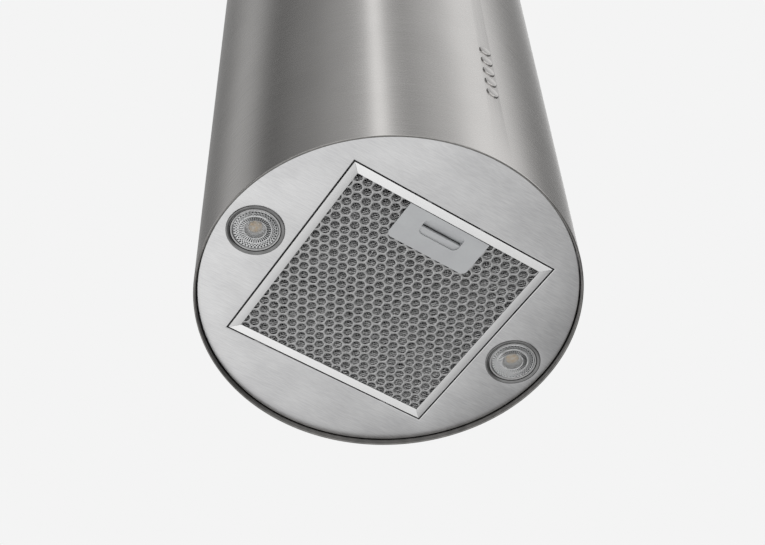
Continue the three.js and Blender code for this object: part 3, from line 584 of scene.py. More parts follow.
# which of the frame's nodes get each finish, by the start of their names
nodeFinishes = {
    "galvanisedSteel": ("ceiling_plate", "upper_post", "lower_post", "carrier_plate", "motor_can",
                        "motor_bracket"),
    "plainSteel": ("height_bolt", "motor_shaft", "motor_bearing", "flap_pin", "latch_spring"),
    "greyPlastic": ("scroll_housing", "electronics"),
    "blackPlastic": ("fan_wheel", "outlet_collar", "flap_left", "flap_right", "cable_gland",
                     "button_housing"),
    "copperWinding": ("motor_stator",),
    "circuitBoard": ("switch_board",),
    "steatite": ("lamp_socket",),
    "cableJacket": ("lamp_cable",),
    "tubeSteel": ("lower_tube", "upper_tube", "push_button"),
    "panelSteel": ("bottom_panel",),
    "railAlongXPaintedLight": ("filter_rail",),
    "punchedSheet": ("filter_face", "filter_back"),
    "expandedAluminium": ("filter_mesh",),
    "satinPaint": ("handle_plate", "latch_slider"),
    "trimNickel": ("lamp_trim",),
    "castAluminium": ("lamp_body",),
    "clearLens": ("lamp_lens",),
}


def finishNodes():
    for finish, starts in nodeFinishes.items():
        for name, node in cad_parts.items():
            if name.startswith(starts):
                node.data.materials.clear()
                node.data.materials.append(finishes[finish]())


finishNodes()
print("materials made:", len(made))


tubeSpec = {
    "radius": 195, "wall": 1, "height": 600, "hemRadius": 1.25, "hemHeight": 10, "steps": 224,
    "upperRadius": 191.5, "upperHeight": 390, "edge": 0.3,
    "paintedShadeEdge": 0.4,  # the darker inside, painted as shade, starts this far in from the outer face
    "buttonHole": 7.4, "buttonPitch": 22, "firstButton": 131.5, "buttons": 5,
    "drillSides": 48, "drillLength": 20, "drillInset": 1,
}


def paintFaces(piece, material, test):
    # faces that pass the test get one more material
    piece.data.materials.append(material)
    for face in piece.data.polygons:
        if test(face):
            face.material_index = len(piece.data.materials) - 1


def makeTubes(spec):
    outer = spec["radius"]
    inner = outer - spec["wall"]
    hem = spec["hemRadius"]
    profile = [(inner, spec["height"]), (outer, spec["height"])]
    profile += arc((outer - hem, hem), hem, 0, -180, 8)  # folded lip
    profile += [(outer - 2 * hem, spec["hemHeight"]), (inner, spec["hemHeight"])]
    lower = turnProfile("lower_tube_shell", profile, spec["steps"])
    holes = []
    for index in range(spec["buttons"]):
        height = spec["firstButton"] + index * spec["buttonPitch"]
        hole = startPiece("hole", bpy.ops.mesh.primitive_cylinder_add, vertices=spec["drillSides"],
                          radius=spec["buttonHole"] * mm, depth=spec["drillLength"] * mm,
                          location=(0, -outer * mm, rimZ + height * mm), rotation=(math.pi / 2, 0, 0))
        pick(hole, "faces", lambda face: abs(face.normal.y) > 0.9)
        bpy.ops.mesh.inset(thickness=spec["drillInset"] * mm)  # keeps the ends off the wall's facets
        closeMesh()
        holes.append(hole)
    combine(lower, holes)
    finishPiece(lower)
    place(lower, "hood", "tubeSteel", "lower_tube")
    paintedShadeEdge = (outer - spec["paintedShadeEdge"]) * mm
    # faces inside this radius are painted darker: painted shade for the gap line at the lip
    paintFaces(lower, paintedShadeInside(), lambda face: face.center.xy.length < paintedShadeEdge)
    outer = spec["upperRadius"]
    inner = outer - spec["wall"]
    ceiling = -rimZ / mm
    bottom = ceiling - spec["upperHeight"]
    edge = spec["edge"]
    profile = [
        (inner + edge, bottom), (outer - edge, bottom), (outer, bottom + edge),
        (outer, ceiling), (inner, ceiling), (inner, bottom + edge),
    ]
    upper = turnProfile("upper_tube_shell", profile, spec["steps"])
    place(upper, "ceiling_frame", "tubeSteel", "upper_tube")


makeTubes(tubeSpec)
print("tubes made")


panelSpec = {
    "radius": 191.8, "face": 6.3, "sheet": 1, "flange": 17.7, "bend": 1.2, "steps": 224,
    "cutOut": 118.75, "cutOutBend": 0.7, "cutOutFlange": 11.7,
    "lampHole": 26.6, "lampX": 155.475, "lampSides": 96, "lampDrill": 8,
    "padReach": 192.5, "padWidth": 24, "padLow": 14, "padHigh": 22,
    "lugX": 77.5, "lugNotch": 19, "lugRise": 0.7,
    "latchX": 31.25, "latchSlot": 7.5, "latchLow": 7.2, "latchHigh": 11.9,
}


def addBlock(name, low, high):
    # a block between two corners in mm, heights above the rim
    centre = [(a + b) / 2 * mm for a, b in zip(low, high)]
    size = [(b - a) * mm for a, b in zip(low, high)]
    centre[2] += rimZ
    block = startPiece(name, bpy.ops.mesh.primitive_cube_add, size=1, location=centre, scale=size)
    closeMesh()
    return block


def flaredSquare(half, bend, z0, z1):
    # cutter for the cut-out: straight sides that round outwards at the panel's face
    wide = half + bend
    height, size = z0 - 1, wide
    corners = [(-wide, -wide), (wide, -wide), (wide, wide), (-wide, wide)]
    cutter = drawOutline("cutter", [(x * mm, y * mm, rimZ + height * mm) for x, y in corners], "face")
    levels = [(z0, wide)]
    for degrees in (22.5, 45, 67.5, 90):
        angle = math.radians(degrees)
        levels.append((z0 + bend * (1 - math.cos(angle)), wide - bend * math.sin(angle)))
    levels.append((z1, half))
    for newHeight, newSize in levels:
        extrude(0, 0, newHeight - height)
        ratio = newSize / size
        bpy.ops.transform.resize(value=(ratio, ratio, 1), center_override=(0, 0, rimZ))
        height, size = newHeight, newSize
    return finishPiece(cutter)


def makePanel(spec):
    face, sheet, radius, bend = spec["face"], spec["sheet"], spec["radius"], spec["bend"]
    top = face + spec["flange"]
    profile = [(0, face)] + arc((radius - bend, face + bend), bend, -90, 0, 6)
    profile += [(radius, top), (radius - sheet, top), (radius - sheet, face + bend)]
    profile += [(radius - bend, face + sheet), (0, face + sheet)]
    panel = turnProfile("bottom_panel_sheet", profile, spec["steps"], closed=False)
    pads = []
    for index in range(4):
        pad = addBlock("pad", (radius - sheet, -spec["padWidth"] / 2, spec["padLow"]),
                       (spec["padReach"], spec["padWidth"] / 2, spec["padHigh"]))
        pad.data.transform(Matrix.Rotation(math.radians(45 + 90 * index), 4, "Z"))
        pads.append(pad)
    combine(panel, pads, "UNION")
    half = spec["cutOut"]
    outside = half + sheet
    flangeTop = face + spec["cutOutFlange"]
    flange = addBlock("flange", (-outside, -outside, face + sheet / 2), (outside, outside, flangeTop))
    combine(panel, [flange], "UNION")
    drills = []
    for side in (-1, 1):
        drills.append(startPiece("lamp hole", bpy.ops.mesh.primitive_cylinder_add,
                                 vertices=spec["lampSides"], radius=spec["lampHole"] * mm,
                                 depth=spec["lampDrill"] * mm,
                                 location=(side * spec["lampX"] * mm, 0, rimZ + face * mm)))
        closeMesh()
    combine(panel, [flaredSquare(half, spec["cutOutBend"], face, flangeTop + 1), *drills])
    openings = []
    for side in (-1, 1):
        lug, latch = side * spec["lugX"], side * spec["latchX"]
        lugHalf, latchHalf = spec["lugNotch"] / 2, spec["latchSlot"] / 2
        openings.append(addBlock("lug notch", (lug - lugHalf, half - 1, face + sheet + spec["lugRise"]),
                                 (lug + lugHalf, outside + 1, flangeTop + 1)))
        openings.append(addBlock("latch slot", (latch - latchHalf, -outside - 1, spec["latchLow"]),
                                 (latch + latchHalf, -half + 1, spec["latchHigh"])))
    combine(panel, openings)
    finishPiece(panel)
    place(panel, "hood", "panelSteel", "bottom_panel")


makePanel(panelSpec)
print("bottom panel made")


filterSpec = {
    "half": 117.25, "railWidth": 9.35, "low": 6.3, "height": 9, "wall": 0.8, "topLip": 8,
    "outerRound": 0.7, "innerRound": 0.4, "mitreGap": 0.12, "smoothAngle": 40,
    "lugX": 77.5, "lugWidth": 15, "lugLow": 9, "lugThickness": 1.6, "lugReach": 125, "lugEdge": 0.4,
    "latchX": 31.25, "latchSlot": 6.5, "latchLow": 7.2, "latchHigh": 11.4, "slotReach": 0.5,
}

sheetSpec = {
    "half": 116.15, "low": 7.4, "thickness": 0.8, "holeRadius": 4.5, "dishRadius": 4.8, "dish": 0.16,
    "pitchX": 10.9, "pitchY": 9.62, "middle": (-0.15, 1.25), "turn": -0.5, "holeSides": 24,
    "notchX": 44, "notchY": -66.8, "backLow": 13.7, "backThickness": 0.5, "backHoleSides": 12,
}


def makeRails(spec):
    half, wall, big, small = spec["half"], spec["wall"], spec["outerRound"], spec["innerRound"]
    y0, z0 = -half, spec["low"]
    y1, z1 = y0 + spec["railWidth"], z0 + spec["height"]
    profile = [(y1, z0 + wall)] + arc((y1 - small, z0 + small), small, 0, -90, 3)
    profile += arc((y0 + big, z0 + big), big, -90, -180, 5)
    profile += [(y0, z1), (y0 + spec["topLip"], z1), (y0 + spec["topLip"], z1 - wall)]
    profile += [(y0 + wall, z1 - wall), (y0 + wall, z0 + wall)]
    places = [(-half * mm, y * mm, rimZ + z * mm) for y, z in profile]
    rail = drawOutline("filter_rail_front_section", places, "face")
    extrude(2 * half, 0, 0)
    for side in (-1, 1):
        bpy.ops.mesh.select_all(action="SELECT")
        bpy.ops.mesh.bisect(plane_co=(side * (half - spec["mitreGap"]) * mm, y0 * mm, rimZ),
                            plane_no=(side, 1, 0), use_fill=True, clear_outer=True)
    finishPiece(rail, spec["smoothAngle"])
    names = ["front", "right", "rear", "left"]
    rails = [rail]
    for quarter in (1, 2, 3):
        turned = Matrix.Rotation(math.pi / 2 * quarter, 4, "Z")
        rails.append(copyPiece(rail, f"filter_rail_{names[quarter]}_section", turned))
    openings = []
    lugs = []
    lugTop = spec["lugLow"] + spec["lugThickness"]
    for side in (-1, 1):
        latch, lug = side * spec["latchX"], side * spec["lugX"]
        latchHalf, lugHalf = spec["latchSlot"] / 2, spec["lugWidth"] / 2
        openings.append(addBlock("latch slot", (latch - latchHalf, y0 - 1, spec["latchLow"]),
                                 (latch + latchHalf, y0 + wall + spec["slotReach"], spec["latchHigh"])))
        lugs.append(addBlock("lug", (lug - lugHalf, -y0 - wall / 2, spec["lugLow"]),
                             (lug + lugHalf, spec["lugReach"], lugTop)))
    for lug in lugs:
        softenEdges(lug, spec["lugEdge"])
    combine(rails[0], openings)
    combine(rails[2], lugs, "UNION")
    # front and rear get the lighter copy, the sides the darker copy that is painted shade
    finishNames = ["railAlongXPaintedLight", "railAlongYPaintedShade", "railAlongXPaintedLight", "railAlongYPaintedShade"]
    for name, piece, finish in zip(names, rails, finishNames):
        finishPiece(piece, spec["smoothAngle"])
        place(piece, "filter", finish, f"filter_rail_{name}")


def trimSquare(half):
    # cuts the opened mesh off at the four sides of a square
    for direction in ((1, 0, 0), (-1, 0, 0), (0, 1, 0), (0, -1, 0)):
        bpy.ops.mesh.select_all(action="SELECT")
        bpy.ops.mesh.bisect(plane_co=Vector(direction) * half * mm, plane_no=direction, clear_outer=True)


def repeatPiece(piece, count, step):
    # count copies in a row, step in mm apart
    modify(piece, "ARRAY", count=count, use_relative_offset=False, use_constant_offset=True,
           constant_offset_displace=[part * mm for part in step])


def punchedField(name, spec, low, dished, sides):
    # one six-sided cell round a hole, repeated over the sheet and trimmed to its edges
    pitchX, pitchY = spec["pitchX"], spec["pitchY"]
    cornerY = (pitchY ** 2 - (pitchX / 2) ** 2) / (2 * pitchY)
    reach = math.hypot(pitchX / 2, cornerY)
    cornerAngle = math.atan2(cornerY, pitchX / 2)
    angles = [cornerAngle, math.pi / 2, math.pi - cornerAngle, math.pi + cornerAngle, 1.5 * math.pi,
              2 * math.pi - cornerAngle, 2 * math.pi + cornerAngle]
    outline = []
    perSide = sides // 6
    for start, end in zip(angles, angles[1:]):
        first = Vector((math.cos(start), math.sin(start))) * reach
        last = Vector((math.cos(end), math.sin(end))) * reach
        outline += [first.lerp(last, step / perSide) for step in range(perSide)]
    z = rimZ + low * mm
    cell = drawOutline(name, [(p.x * mm, p.y * mm, z) for p in outline], "edge")
    bpy.ops.mesh.primitive_circle_add(vertices=sides, radius=spec["dishRadius"] * mm,
                                      location=(0, 0, z), rotation=(0, 0, cornerAngle))
    bpy.ops.mesh.select_all(action="SELECT")
    bpy.ops.mesh.bridge_edge_loops()
    dishReach = (spec["dishRadius"] + closeness["match"]) * mm
    pick(cell, "edges", lambda edge: max(v.co.xy.length for v in edge.verts) < dishReach)
    extrude(0, 0, dished)
    ratio = spec["holeRadius"] / spec["dishRadius"]
    bpy.ops.transform.resize(value=(ratio, ratio, 1), center_override=(0, 0, 0))
    closeMesh()
    second = copyPiece(cell, "second", Matrix.Translation((pitchX / 2 * mm, pitchY * mm, 0)))
    selectOnly(cell)
    second.select_set(True)
    bpy.ops.object.join()
    columns = math.ceil(spec["half"] / pitchX) + 1
    rows = math.ceil(spec["half"] / pitchY / 2) + 1
    middleX, middleY = spec["middle"]
    corner = ((middleX - columns * pitchX) * mm, (middleY - 2 * rows * pitchY) * mm, 0)
    cell.data.transform(Matrix.Translation(corner))
    repeatPiece(cell, 2 * columns + 1, (pitchX, 0, 0))
    repeatPiece(cell, 2 * rows + 1, (0, 2 * pitchY, 0))
    cell.data.transform(Matrix.Rotation(math.radians(spec["turn"]), 4, "Z"))
    openMesh(cell)
    trimSquare(spec["half"])
    bpy.ops.mesh.select_all(action="SELECT")
    bpy.ops.mesh.remove_doubles(threshold=closeness["punchedMerge"] * mm)
    closeMesh()
    return cell


def trimNotch(piece, spec):
    # takes out the part of the sheet that the handle and latch need
    openMesh(piece)
    notchX, notchY = spec["notchX"] * mm, spec["notchY"] * mm
    cuts = [((notchX, 0, 0), (1, 0, 0)), ((-notchX, 0, 0), (1, 0, 0)), ((0, notchY, 0), (0, 1, 0))]
    for where, direction in cuts:
        bpy.ops.mesh.select_all(action="SELECT")
        bpy.ops.mesh.bisect(plane_co=where, plane_no=direction)

    def inNotch(face):
        middle = face.calc_center_median()
        return abs(middle.x) < notchX and middle.y < notchY

    pick(piece, "faces", inNotch)
    bpy.ops.mesh.delete(type="FACE")
    closeMesh()


def thicken(piece, thickness):
    # gives a flat sheet its thickness, upwards from where it lies
    openMesh(piece)
    bpy.ops.mesh.normals_make_consistent(inside=False)
    closeMesh()
    upwards = sum(face.normal.z for face in piece.data.polygons) > 0
    modify(piece, "SOLIDIFY", thickness=thickness * mm, offset=1 if upwards else -1)
    return finishPiece(piece, 40)


def makeSheets(spec):
    front = punchedField("filter_face_sheet_punched", spec, spec["low"], spec["dish"], spec["holeSides"])
    trimNotch(front, spec)
    thicken(front, spec["thickness"] - spec["dish"])
    place(front, "filter", "punchedSheet", "filter_face_sheet")
    back = punchedField("filter_back_sheet_punched", spec, spec["backLow"], 0.0, spec["backHoleSides"])
    thicken(back, spec["backThickness"])
    place(back, "filter", "punchedSheet", "filter_back_sheet")


makeRails(filterSpec)
makeSheets(sheetSpec)
print("filter frame and sheets made")


meshSpec = {
    "half": 115.5, "cell": 2.45, "strand": 0.66, "unevenness": 0.5, "notchX": 44.5, "notchY": -66.3,
    "layers": [(9.1, 38, 11), (10.6, 63, 12)],  # height, turn in degrees, seed
}


def makeMesh(spec):
    # two layers of expanded foil: a net of diamonds, pulled uneven, its strands given a thickness
    reach = spec["half"] * math.sqrt(2)
    count = round(2 * reach / spec["cell"])
    for index, (height, turn, seed) in enumerate(spec["layers"]):
        layer = startPiece(f"filter_mesh_layer_{index + 1}", bpy.ops.mesh.primitive_grid_add,
                           x_subdivisions=count, y_subdivisions=count, size=2 * reach * mm,
                           location=(0, 0, rimZ + height * mm), rotation=(0, 0, math.radians(turn)))
        bpy.ops.transform.vertex_random(offset=spec["unevenness"] * mm, uniform=0.0, normal=0.0, seed=seed)
        trimSquare(spec["half"])
        closeMesh()
        trimNotch(layer, spec)
        modify(layer, "WIREFRAME", thickness=spec["strand"] * mm, use_even_offset=False, use_boundary=True)
        finishPiece(layer, 20)
        place(layer, "filter", "expandedAluminium", "filter_mesh_pack")


makeMesh(meshSpec)
print("mesh layers made")


handleSpec = {
    "halfWidth": 46.75, "front": -107.3, "rear": -64, "low": 6.0, "thickness": 1.1, "corner": 6, "edge": 0.25,
    "pillHalf": 23, "pillFront": -102, "pillRear": -82.6, "pillCorner": 6, "cornerSteps": 8,
    "tongueY": -90.1, "tongueGap": 0.3, "pocketDepth": 4.8, "pocketWall": 1,
    # the pocket's floor, as distances behind its front edge and above the plate's face
    "pocketFloor": [(-1, -0.02), (1.2, 0.1), (2.8, 0.5), (5, 1.3), (8.5, 3.2)],
    "tabY": -68.1, "tabHalf": 5, "tabTop": 11.5, "overlap": 3,
}


def drawAcross(name, reach, outline):
    # an outline of (y, height) drawn at one side and pushed through to the other
    piece = drawOutline(name, [(-reach * mm, y * mm, rimZ + z * mm) for y, z in outline], "face")
    extrude(2 * reach, 0, 0)
    return finishPiece(piece)


def makeHandle(spec):
    half, front, rear, steps = spec["halfWidth"], spec["front"], spec["rear"], spec["cornerSteps"]
    low, top = spec["low"], spec["low"] + spec["thickness"]
    outline = roundedBox(-half, front, half, rear, (0, 0, spec["corner"], spec["corner"]), steps)
    plate = raiseOutline("handle_plate_cast", outline, low, top)
    softenEdges(plate, spec["edge"], 3)
    reach, ahead, end = spec["pillHalf"], spec["pillFront"], spec["tongueY"] - spec["tongueGap"]
    wall, overlap = spec["pocketWall"], spec["overlap"]
    depth = top + spec["pocketDepth"]
    side = reach + wall
    shell = [(-side, ahead - 1), (side, ahead - 1), (side, end), (-side, end)]
    scoop = raiseOutline("scoop", shell, low + 0.5, depth + wall)
    roof = depth + wall + 0.6
    slope = [(ahead - overlap, top + 0.2), (end + 1, roof), (ahead - overlap, roof)]
    combine(scoop, [drawAcross("wedge", reach + overlap, slope)])
    tab = addBlock("tab", (-spec["tabHalf"], spec["tabY"], top - 0.5),
                   (spec["tabHalf"], spec["tabY"] + 1, spec["tabTop"]))
    combine(plate, [scoop, tab], "UNION")
    # the finger's hollow: flush at the front, deepest under the tongue, its front corners rounded
    corner = spec["pillCorner"]
    hollowOutline = roundedBox(-reach, ahead, reach, end, (corner, corner, 0, 0), steps)
    hollow = raiseOutline("hollow", hollowOutline, low - 1, depth)
    ramp = [(ahead + back, low + rise) for back, rise in spec["pocketFloor"]]
    ramp += [(end, depth), (end, depth + 2), (ahead - 1, depth + 2)]
    combine(hollow, [drawAcross("keep", reach + overlap, ramp)])
    windowOutline = roundedBox(-reach, end - 0.01, reach, spec["pillRear"], (0, 0, corner, corner), steps)
    window = raiseOutline("window", windowOutline, low - 1, top + 0.2)
    combine(plate, [hollow, window])
    finishPiece(plate, 30)
    place(plate, "filter", "satinPaint", "handle_plate")


latchSpec = {
    "front": -90.1, "depth": 10, "low": 7.4, "thickness": 3.5, "half": 34, "arm": 5.5, "nose": -118.45,
    "edge": 0.35, "lead": 2.2,
}


def makeLatch(spec):
    half, front, low = spec["half"], spec["front"], spec["low"]
    high = low + spec["thickness"]
    bar = addBlock("latch_slider_bar", (-half, front, low), (half, front + spec["depth"], high))
    arms = []
    for left in (-half, half - spec["arm"]):
        arms.append(addBlock("arm", (left, spec["nose"], low), (left + spec["arm"], front + 1, high)))
    combine(bar, arms, "UNION")
    nose = (spec["nose"] + closeness["match"]) * mm
    bottom = rimZ + (low + closeness["match"]) * mm
    openMesh(bar)
    pick(bar, "edges", lambda edge: all(v.co.y < nose and v.co.z < bottom for v in edge.verts))
    bpy.ops.mesh.bevel(offset=spec["lead"] * mm, segments=1)  # slope that lets the filter snap shut
    closeMesh()
    softenEdges(bar, spec["edge"], 3)
    finishPiece(bar, 30)
    place(bar, "latch", "satinPaint", "latch_slider")


makeHandle(handleSpec)
makeLatch(latchSpec)
print("handle and latch made")


lampSpec = {
    "x": 155.475, "steps": 120,
    "trimInner": 25.2, "trimOuter": 28.8, "trimFace": 5.0, "trimBack": 6.0, "trimBarrel": 26.2, "trimTop": 20,
    "trimRound": 0.7,
    "trimLip": [(0, 0.9), (0.7, 0.45), (1.5, 0.12), (2.1, 0)],  # out from the opening, behind the face
    "bodyRadius": 24.6, "face": 6.2, "seat": 22.6, "bodyTop": 55.5, "neck": 12, "barrel": 14, "bevel": 0.3,
    "bowlDepth": 6.5, "bowlRadius": 13,
    "bowlWall": [(18, 5.2), (21.6, 3.6), (22.6, 3.4)],  # radius, depth behind the lamp's front
    # the lens: its middle, then ring grooves, as radius and depth behind its face
    "lensRadius": 22.2, "lensFront": 0.4, "lensBack": 3.0, "lensLand": 21.8,
    "lensMiddle": [(0, 0), (4, 0.05), (7.5, 0.3), (9.3, 0.9), (9.8, 1.3), (10.4, 0.5)],
    "ribs": 40, "bands": [(21.4, 19.6), (19.2, 17.9), (17.6, 16.9), (15.2, 11.0)], "ribBase": 0.45,
    "rib": 0.4, "bead": [(0.35, 0.2), (0.8, 0), (1.3, 0.2)],  # outside the inner band
    "chipSides": 48, "chip": [(0, 1.4), (5.6, 1.2), (6.8, 0.5), (6.8, 0.1), (0, 0.1)],
}


def makeTrim(spec):
    inner, outer, face, back = spec["trimInner"], spec["trimOuter"], spec["trimFace"], spec["trimBack"]
    barrel, top, corner = spec["trimBarrel"], spec["trimTop"], spec["trimRound"]
    profile = [(inner + out, face + depth) for out, depth in spec["trimLip"]]
    profile += arc((outer - corner, face + corner), corner, -90, 0, 5)
    profile += [(outer, back), (barrel, back), (barrel, top), (inner, top)]
    return turnProfile("lamp_trim_ring", profile, spec["steps"])


def makeLampBody(spec):
    radius, front, top, bevel = spec["bodyRadius"], spec["face"], spec["bodyTop"], spec["bevel"]
    seat, neck, bottom = spec["seat"], spec["neck"], spec["face"] + spec["bowlDepth"]
    profile = [(0, bottom), (spec["bowlRadius"], bottom)]
    profile += [(distance, front + depth) for distance, depth in spec["bowlWall"]]
    profile += [(seat, front + bevel), (seat + bevel, front), (radius - bevel, front)]
    profile += [(radius, front + bevel), (radius, front + spec["barrel"])]
    profile += [(neck + 2, top - 11), (neck, top - 9), (neck, top), (0, top)]
    return turnProfile("lamp_body_cast", profile, spec["steps"], closed=False)


def makeLens(spec):
    face, back = spec["face"] + spec["lensFront"], spec["face"] + spec["lensBack"]
    base = face + spec["ribBase"]
    profile = [(distance, face + depth) for distance, depth in spec["lensMiddle"]]
    innermost = spec["bands"][-1]
    for outer, inner in reversed(spec["bands"]):
        profile += [(inner, base), (outer, base)]
        if (outer, inner) == innermost:
            profile += [(outer + out, face + depth) for out, depth in spec["bead"]]
    radius = spec["lensRadius"]
    profile += [(spec["lensLand"], face), (radius, face + spec["bevel"]), (radius, back), (0, back)]
    lens = turnProfile("lamp_lens_disc", profile, 2 * spec["ribs"], closed=False, smoothAngle=20)
    step = math.pi / spec["ribs"]
    behind = rimZ + (face + 0.6) * mm

    def onRib(vertex, inner, outer, shift):
        spoke = round(math.atan2(vertex.co.y, vertex.co.x) / step)
        inBand = inner - 0.05 < vertex.co.xy.length / mm < outer + 0.05
        return inBand and vertex.co.z < behind and (spoke + shift) % 2 == 0

    openMesh(lens)
    for index, (outer, inner) in enumerate(spec["bands"]):
        pick(lens, "verts", lambda vertex: onRib(vertex, inner, outer, index))
        bpy.ops.transform.translate(value=(0, 0, -spec["rib"] * mm))
    closeMesh()
    return finishPiece(lens, 12)


def makeChip(spec):
    bottom = spec["face"] + spec["bowlDepth"]
    profile = [(distance, bottom - depth) for distance, depth in spec["chip"]]
    return turnProfile("lamp_led", profile, spec["chipSides"], closed=False)


def paintRibs(lens, middle, spec):
    # every second facet of a band gets the painted shade, the rest of the outer ring the painted highlight,
    # and the bands are shifted by one against each other
    step = math.pi / spec["ribs"]
    ringStart = (spec["bands"][-1][1] - 0.5) * mm

    def isPaintedShadeFacet(face):
        offset = face.center.xy - middle
        spoke = math.floor(math.atan2(offset.y, offset.x) / step)
        inBand = [inner < offset.length / mm < outer for outer, inner in spec["bands"]]
        return face.normal.z < -0.3 and any(inBand) and (spoke + inBand.index(True)) % 2

    def isPaintedHighlightRing(face):
        return face.normal.z < -0.3 and (face.center.xy - middle).length > ringStart

    paintFaces(lens, paintedHighlightPrism(), isPaintedHighlightRing)
    paintFaces(lens, paintedShadePrism(), isPaintedShadeFacet)


def paintBowl(body, middle, spec):
    bottom = rimZ + (spec["face"] + spec["bowlDepth"] + 0.1) * mm
    seat = (spec["seat"] - 0.05) * mm
    paintFaces(body, reflectorBowl(), lambda face: face.center.z < bottom
               and (face.center.xy - middle).length < seat)


def makeLamps(spec):
    # each master with its body, its finish, the node it replaces and what else is painted on it
    parts = [
        (makeTrim(spec), "hood", "trimNickel", "lamp_trim_{}", None),
        (makeLampBody(spec), "{}_lamp", "castAluminium", "lamp_body_{}", paintBowl),
        (makeLens(spec), "{}_lamp", "clearLens", "lamp_lens_{}", paintRibs),
        (makeChip(spec), "{}_lamp", "ledPhosphor", None, None),
    ]
    for x, name in ((-spec["x"], "left"), (spec["x"], "right")):
        for master, body, finish, node, paint in parts:
            piece = copyPiece(master, f"{master.name}_{name}", Matrix.Translation((x * mm, 0, 0)))
            place(piece, body.format(name), finish, *([node.format(name)] if node else []))
            if paint:
                paint(piece, Vector((x, 0)) * mm, spec)
    for master, *_ in parts:
        bpy.data.objects.remove(master)


makeLamps(lampSpec)
print("lamps made")


buttonSpec = {
    "count": 5, "radius": 7, "pitch": 22, "first": 131.5, "front": -196.6, "back": -189.8, "stem": 3,
    "stemEnd": -184.8, "edge": 0.7, "dish": 0.35, "steps": 64,
}


def makeButtons(spec):
    edge, radius, stem, dish = spec["edge"], spec["radius"], spec["stem"], spec["dish"]
    length, stemLength = spec["back"] - spec["front"], spec["stemEnd"] - spec["front"]
    profile = [(radius * part, dish * (1 - part ** 2)) for part in (0, 0.3, 0.55, 0.75)]
    profile += arc((radius - edge, edge), edge, -90, 0, 5)
    profile += [(radius, length), (stem, length), (stem, stemLength), (0, stemLength)]
    master = turnProfile("push_button", profile, spec["steps"], closed=False, smoothAngle=40)
    master.data.transform(Matrix.Translation((0, 0, -rimZ)))
    for index in range(spec["count"]):
        height = rimZ + (spec["first"] + index * spec["pitch"]) * mm
        stand = Matrix.Translation((0, spec["front"] * mm, height)) @ Matrix.Rotation(-math.pi / 2, 4, "X")
        button = copyPiece(master, f"push_button_{index + 1}_cap", stand)
        place(button, f"button_{index + 1}", "tubeSteel", f"push_button_{index + 1}")
    bpy.data.objects.remove(master)


makeButtons(buttonSpec)
print("push buttons made")


# the floor lies far below, so that views from below stay above it, and glows a little to look pale
floorSpec = {
    "height": -3400, "size": 14000, "dark": "#e6e6e5", "light": "#ececeb", "mottle": 1000 / 3,
    "glow": "#e9e9e8", "glowStrength": 0.45,
}


def makeFloor(spec):
    floor = startPiece("floor", bpy.ops.mesh.primitive_plane_add, size=spec["size"] * mm,
                       location=(0, 0, spec["height"] * mm))
    closeMesh()
    material, tree, shader = startMaterial("matt_painted_floor", {
        "Metallic": 0.0, "Roughness": 0.8, "Emission Color": toLinear(spec["glow"]),
        "Emission Strength": spec["glowStrength"],
    })
    mottle = addPattern(tree, "ShaderNodeTexNoise", spec["mottle"], {"Detail": 3.0})
    dressShader(tree, shader, colour=(mottle.outputs[0], [(0.3, spec["dark"]), (0.7, spec["light"])]))
    floor.data.materials.append(material)
    floor.visible_glossy = False
    floor.visible_diffuse = False


# soft light stands round the hood: each is an azimuth from the front towards +X, in degrees, and
# a brightness; below, a bright pool fades to dark along a direction, and takes over under the horizon
studioSpec = {
    "backdrop": "#f4f4f4",
    "around": [
        (-180, 0.45), (-160, 0.20), (-145, 0.23), (-130, 0.62), (-118, 0.53), (-104, 0.12), (-80, 0.28),
        (-55, 0.44), (-43, 0.57), (-36, 1.45), (-28, 0.54), (-20, 0.42), (0, 0.62), (22, 1.1), (43, 0.91),
        (56, 0.38), (68, 0.23), (84, 0.31), (98, 0.47), (108, 1.2), (116, 1.45), (128, 0.85), (150, 0.8),
        (180, 0.45),
    ],
    "direction": (2.6, 0.25, 0), "bright": 1.22, "dark": 0.28, "near": 0.76, "far": 1.72,
    "fadeFrom": -0.1, "fadeTo": -0.45,
    "headroom": 2,  # colours are kept this much lower than the light, because a ramp ends at 1
}


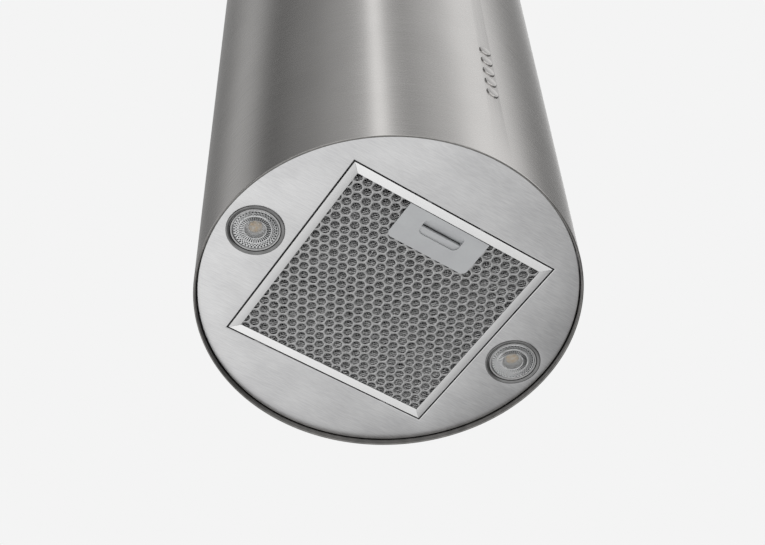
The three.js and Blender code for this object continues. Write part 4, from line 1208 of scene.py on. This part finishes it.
def makeStudio(spec):
    world = bpy.data.worlds.new("studio")
    bpy.context.scene.world = world
    world.use_nodes = True
    tree = world.node_tree
    tree.nodes.clear()
    headroom = spec["headroom"]
    direction = addNode(tree, "ShaderNodeTexCoord").outputs["Generated"]
    axes = addNode(tree, "ShaderNodeSeparateXYZ", links={0: direction})
    behind = addNode(tree, "ShaderNodeMath", {"operation": "MULTIPLY", 1: -1.0}, {0: axes.outputs["Y"]})
    azimuth = addNode(tree, "ShaderNodeMath", {"operation": "ARCTAN2"},
                      {0: axes.outputs["X"], 1: behind.outputs[0]})
    turn = addNode(tree, "ShaderNodeMapRange", {
        "From Min": -math.pi, "From Max": math.pi, "To Min": 0, "To Max": 1,
    }, {"Value": azimuth.outputs[0]})
    ramp = addNode(tree, "ShaderNodeValToRGB", links={"Fac": turn.outputs["Result"]})
    ramp.color_ramp.interpolation = "EASE"
    stops = []
    for degrees, value in spec["around"]:
        grey = value / headroom
        stops.append(((degrees + 180) / 360, (grey, grey, grey, 1)))
    ring = fillRamp(ramp, stops)
    across = addNode(tree, "ShaderNodeVectorMath", {"operation": "DOT_PRODUCT", 1: spec["direction"]},
                     {0: direction})
    pool = addNode(tree, "ShaderNodeMapRange", {
        "From Min": spec["near"], "From Max": spec["far"],
        "To Min": spec["bright"] / headroom, "To Max": spec["dark"] / headroom,
    }, {"Value": across.outputs["Value"]})
    lowPart = addNode(tree, "ShaderNodeMapRange", {
        "interpolation_type": "SMOOTHSTEP", "From Min": spec["fadeFrom"], "From Max": spec["fadeTo"],
        "To Min": 0.0, "To Max": 1.0,
    }, {"Value": axes.outputs["Z"]})
    mixed = addNode(tree, "ShaderNodeMix", {"data_type": "RGBA"},
                    {0: lowPart.outputs[0], 6: ring, 7: pool.outputs["Result"]})
    light = addNode(tree, "ShaderNodeBackground", {"Strength": headroom}, {"Color": mixed.outputs[2]})
    plain = addNode(tree, "ShaderNodeBackground", {"Color": toLinear(spec["backdrop"]), "Strength": 1.0})
    path = addNode(tree, "ShaderNodeLightPath")
    either = addNode(tree, "ShaderNodeMixShader", links={
        0: path.outputs["Is Camera Ray"], 1: light.outputs[0], 2: plain.outputs[0],
    })
    addNode(tree, "ShaderNodeOutputWorld", links={"Surface": either.outputs[0]})
    bpy.context.scene.view_settings.view_transform = "Standard"


makeFloor(floorSpec)
makeStudio(studioSpec)
print("studio made")
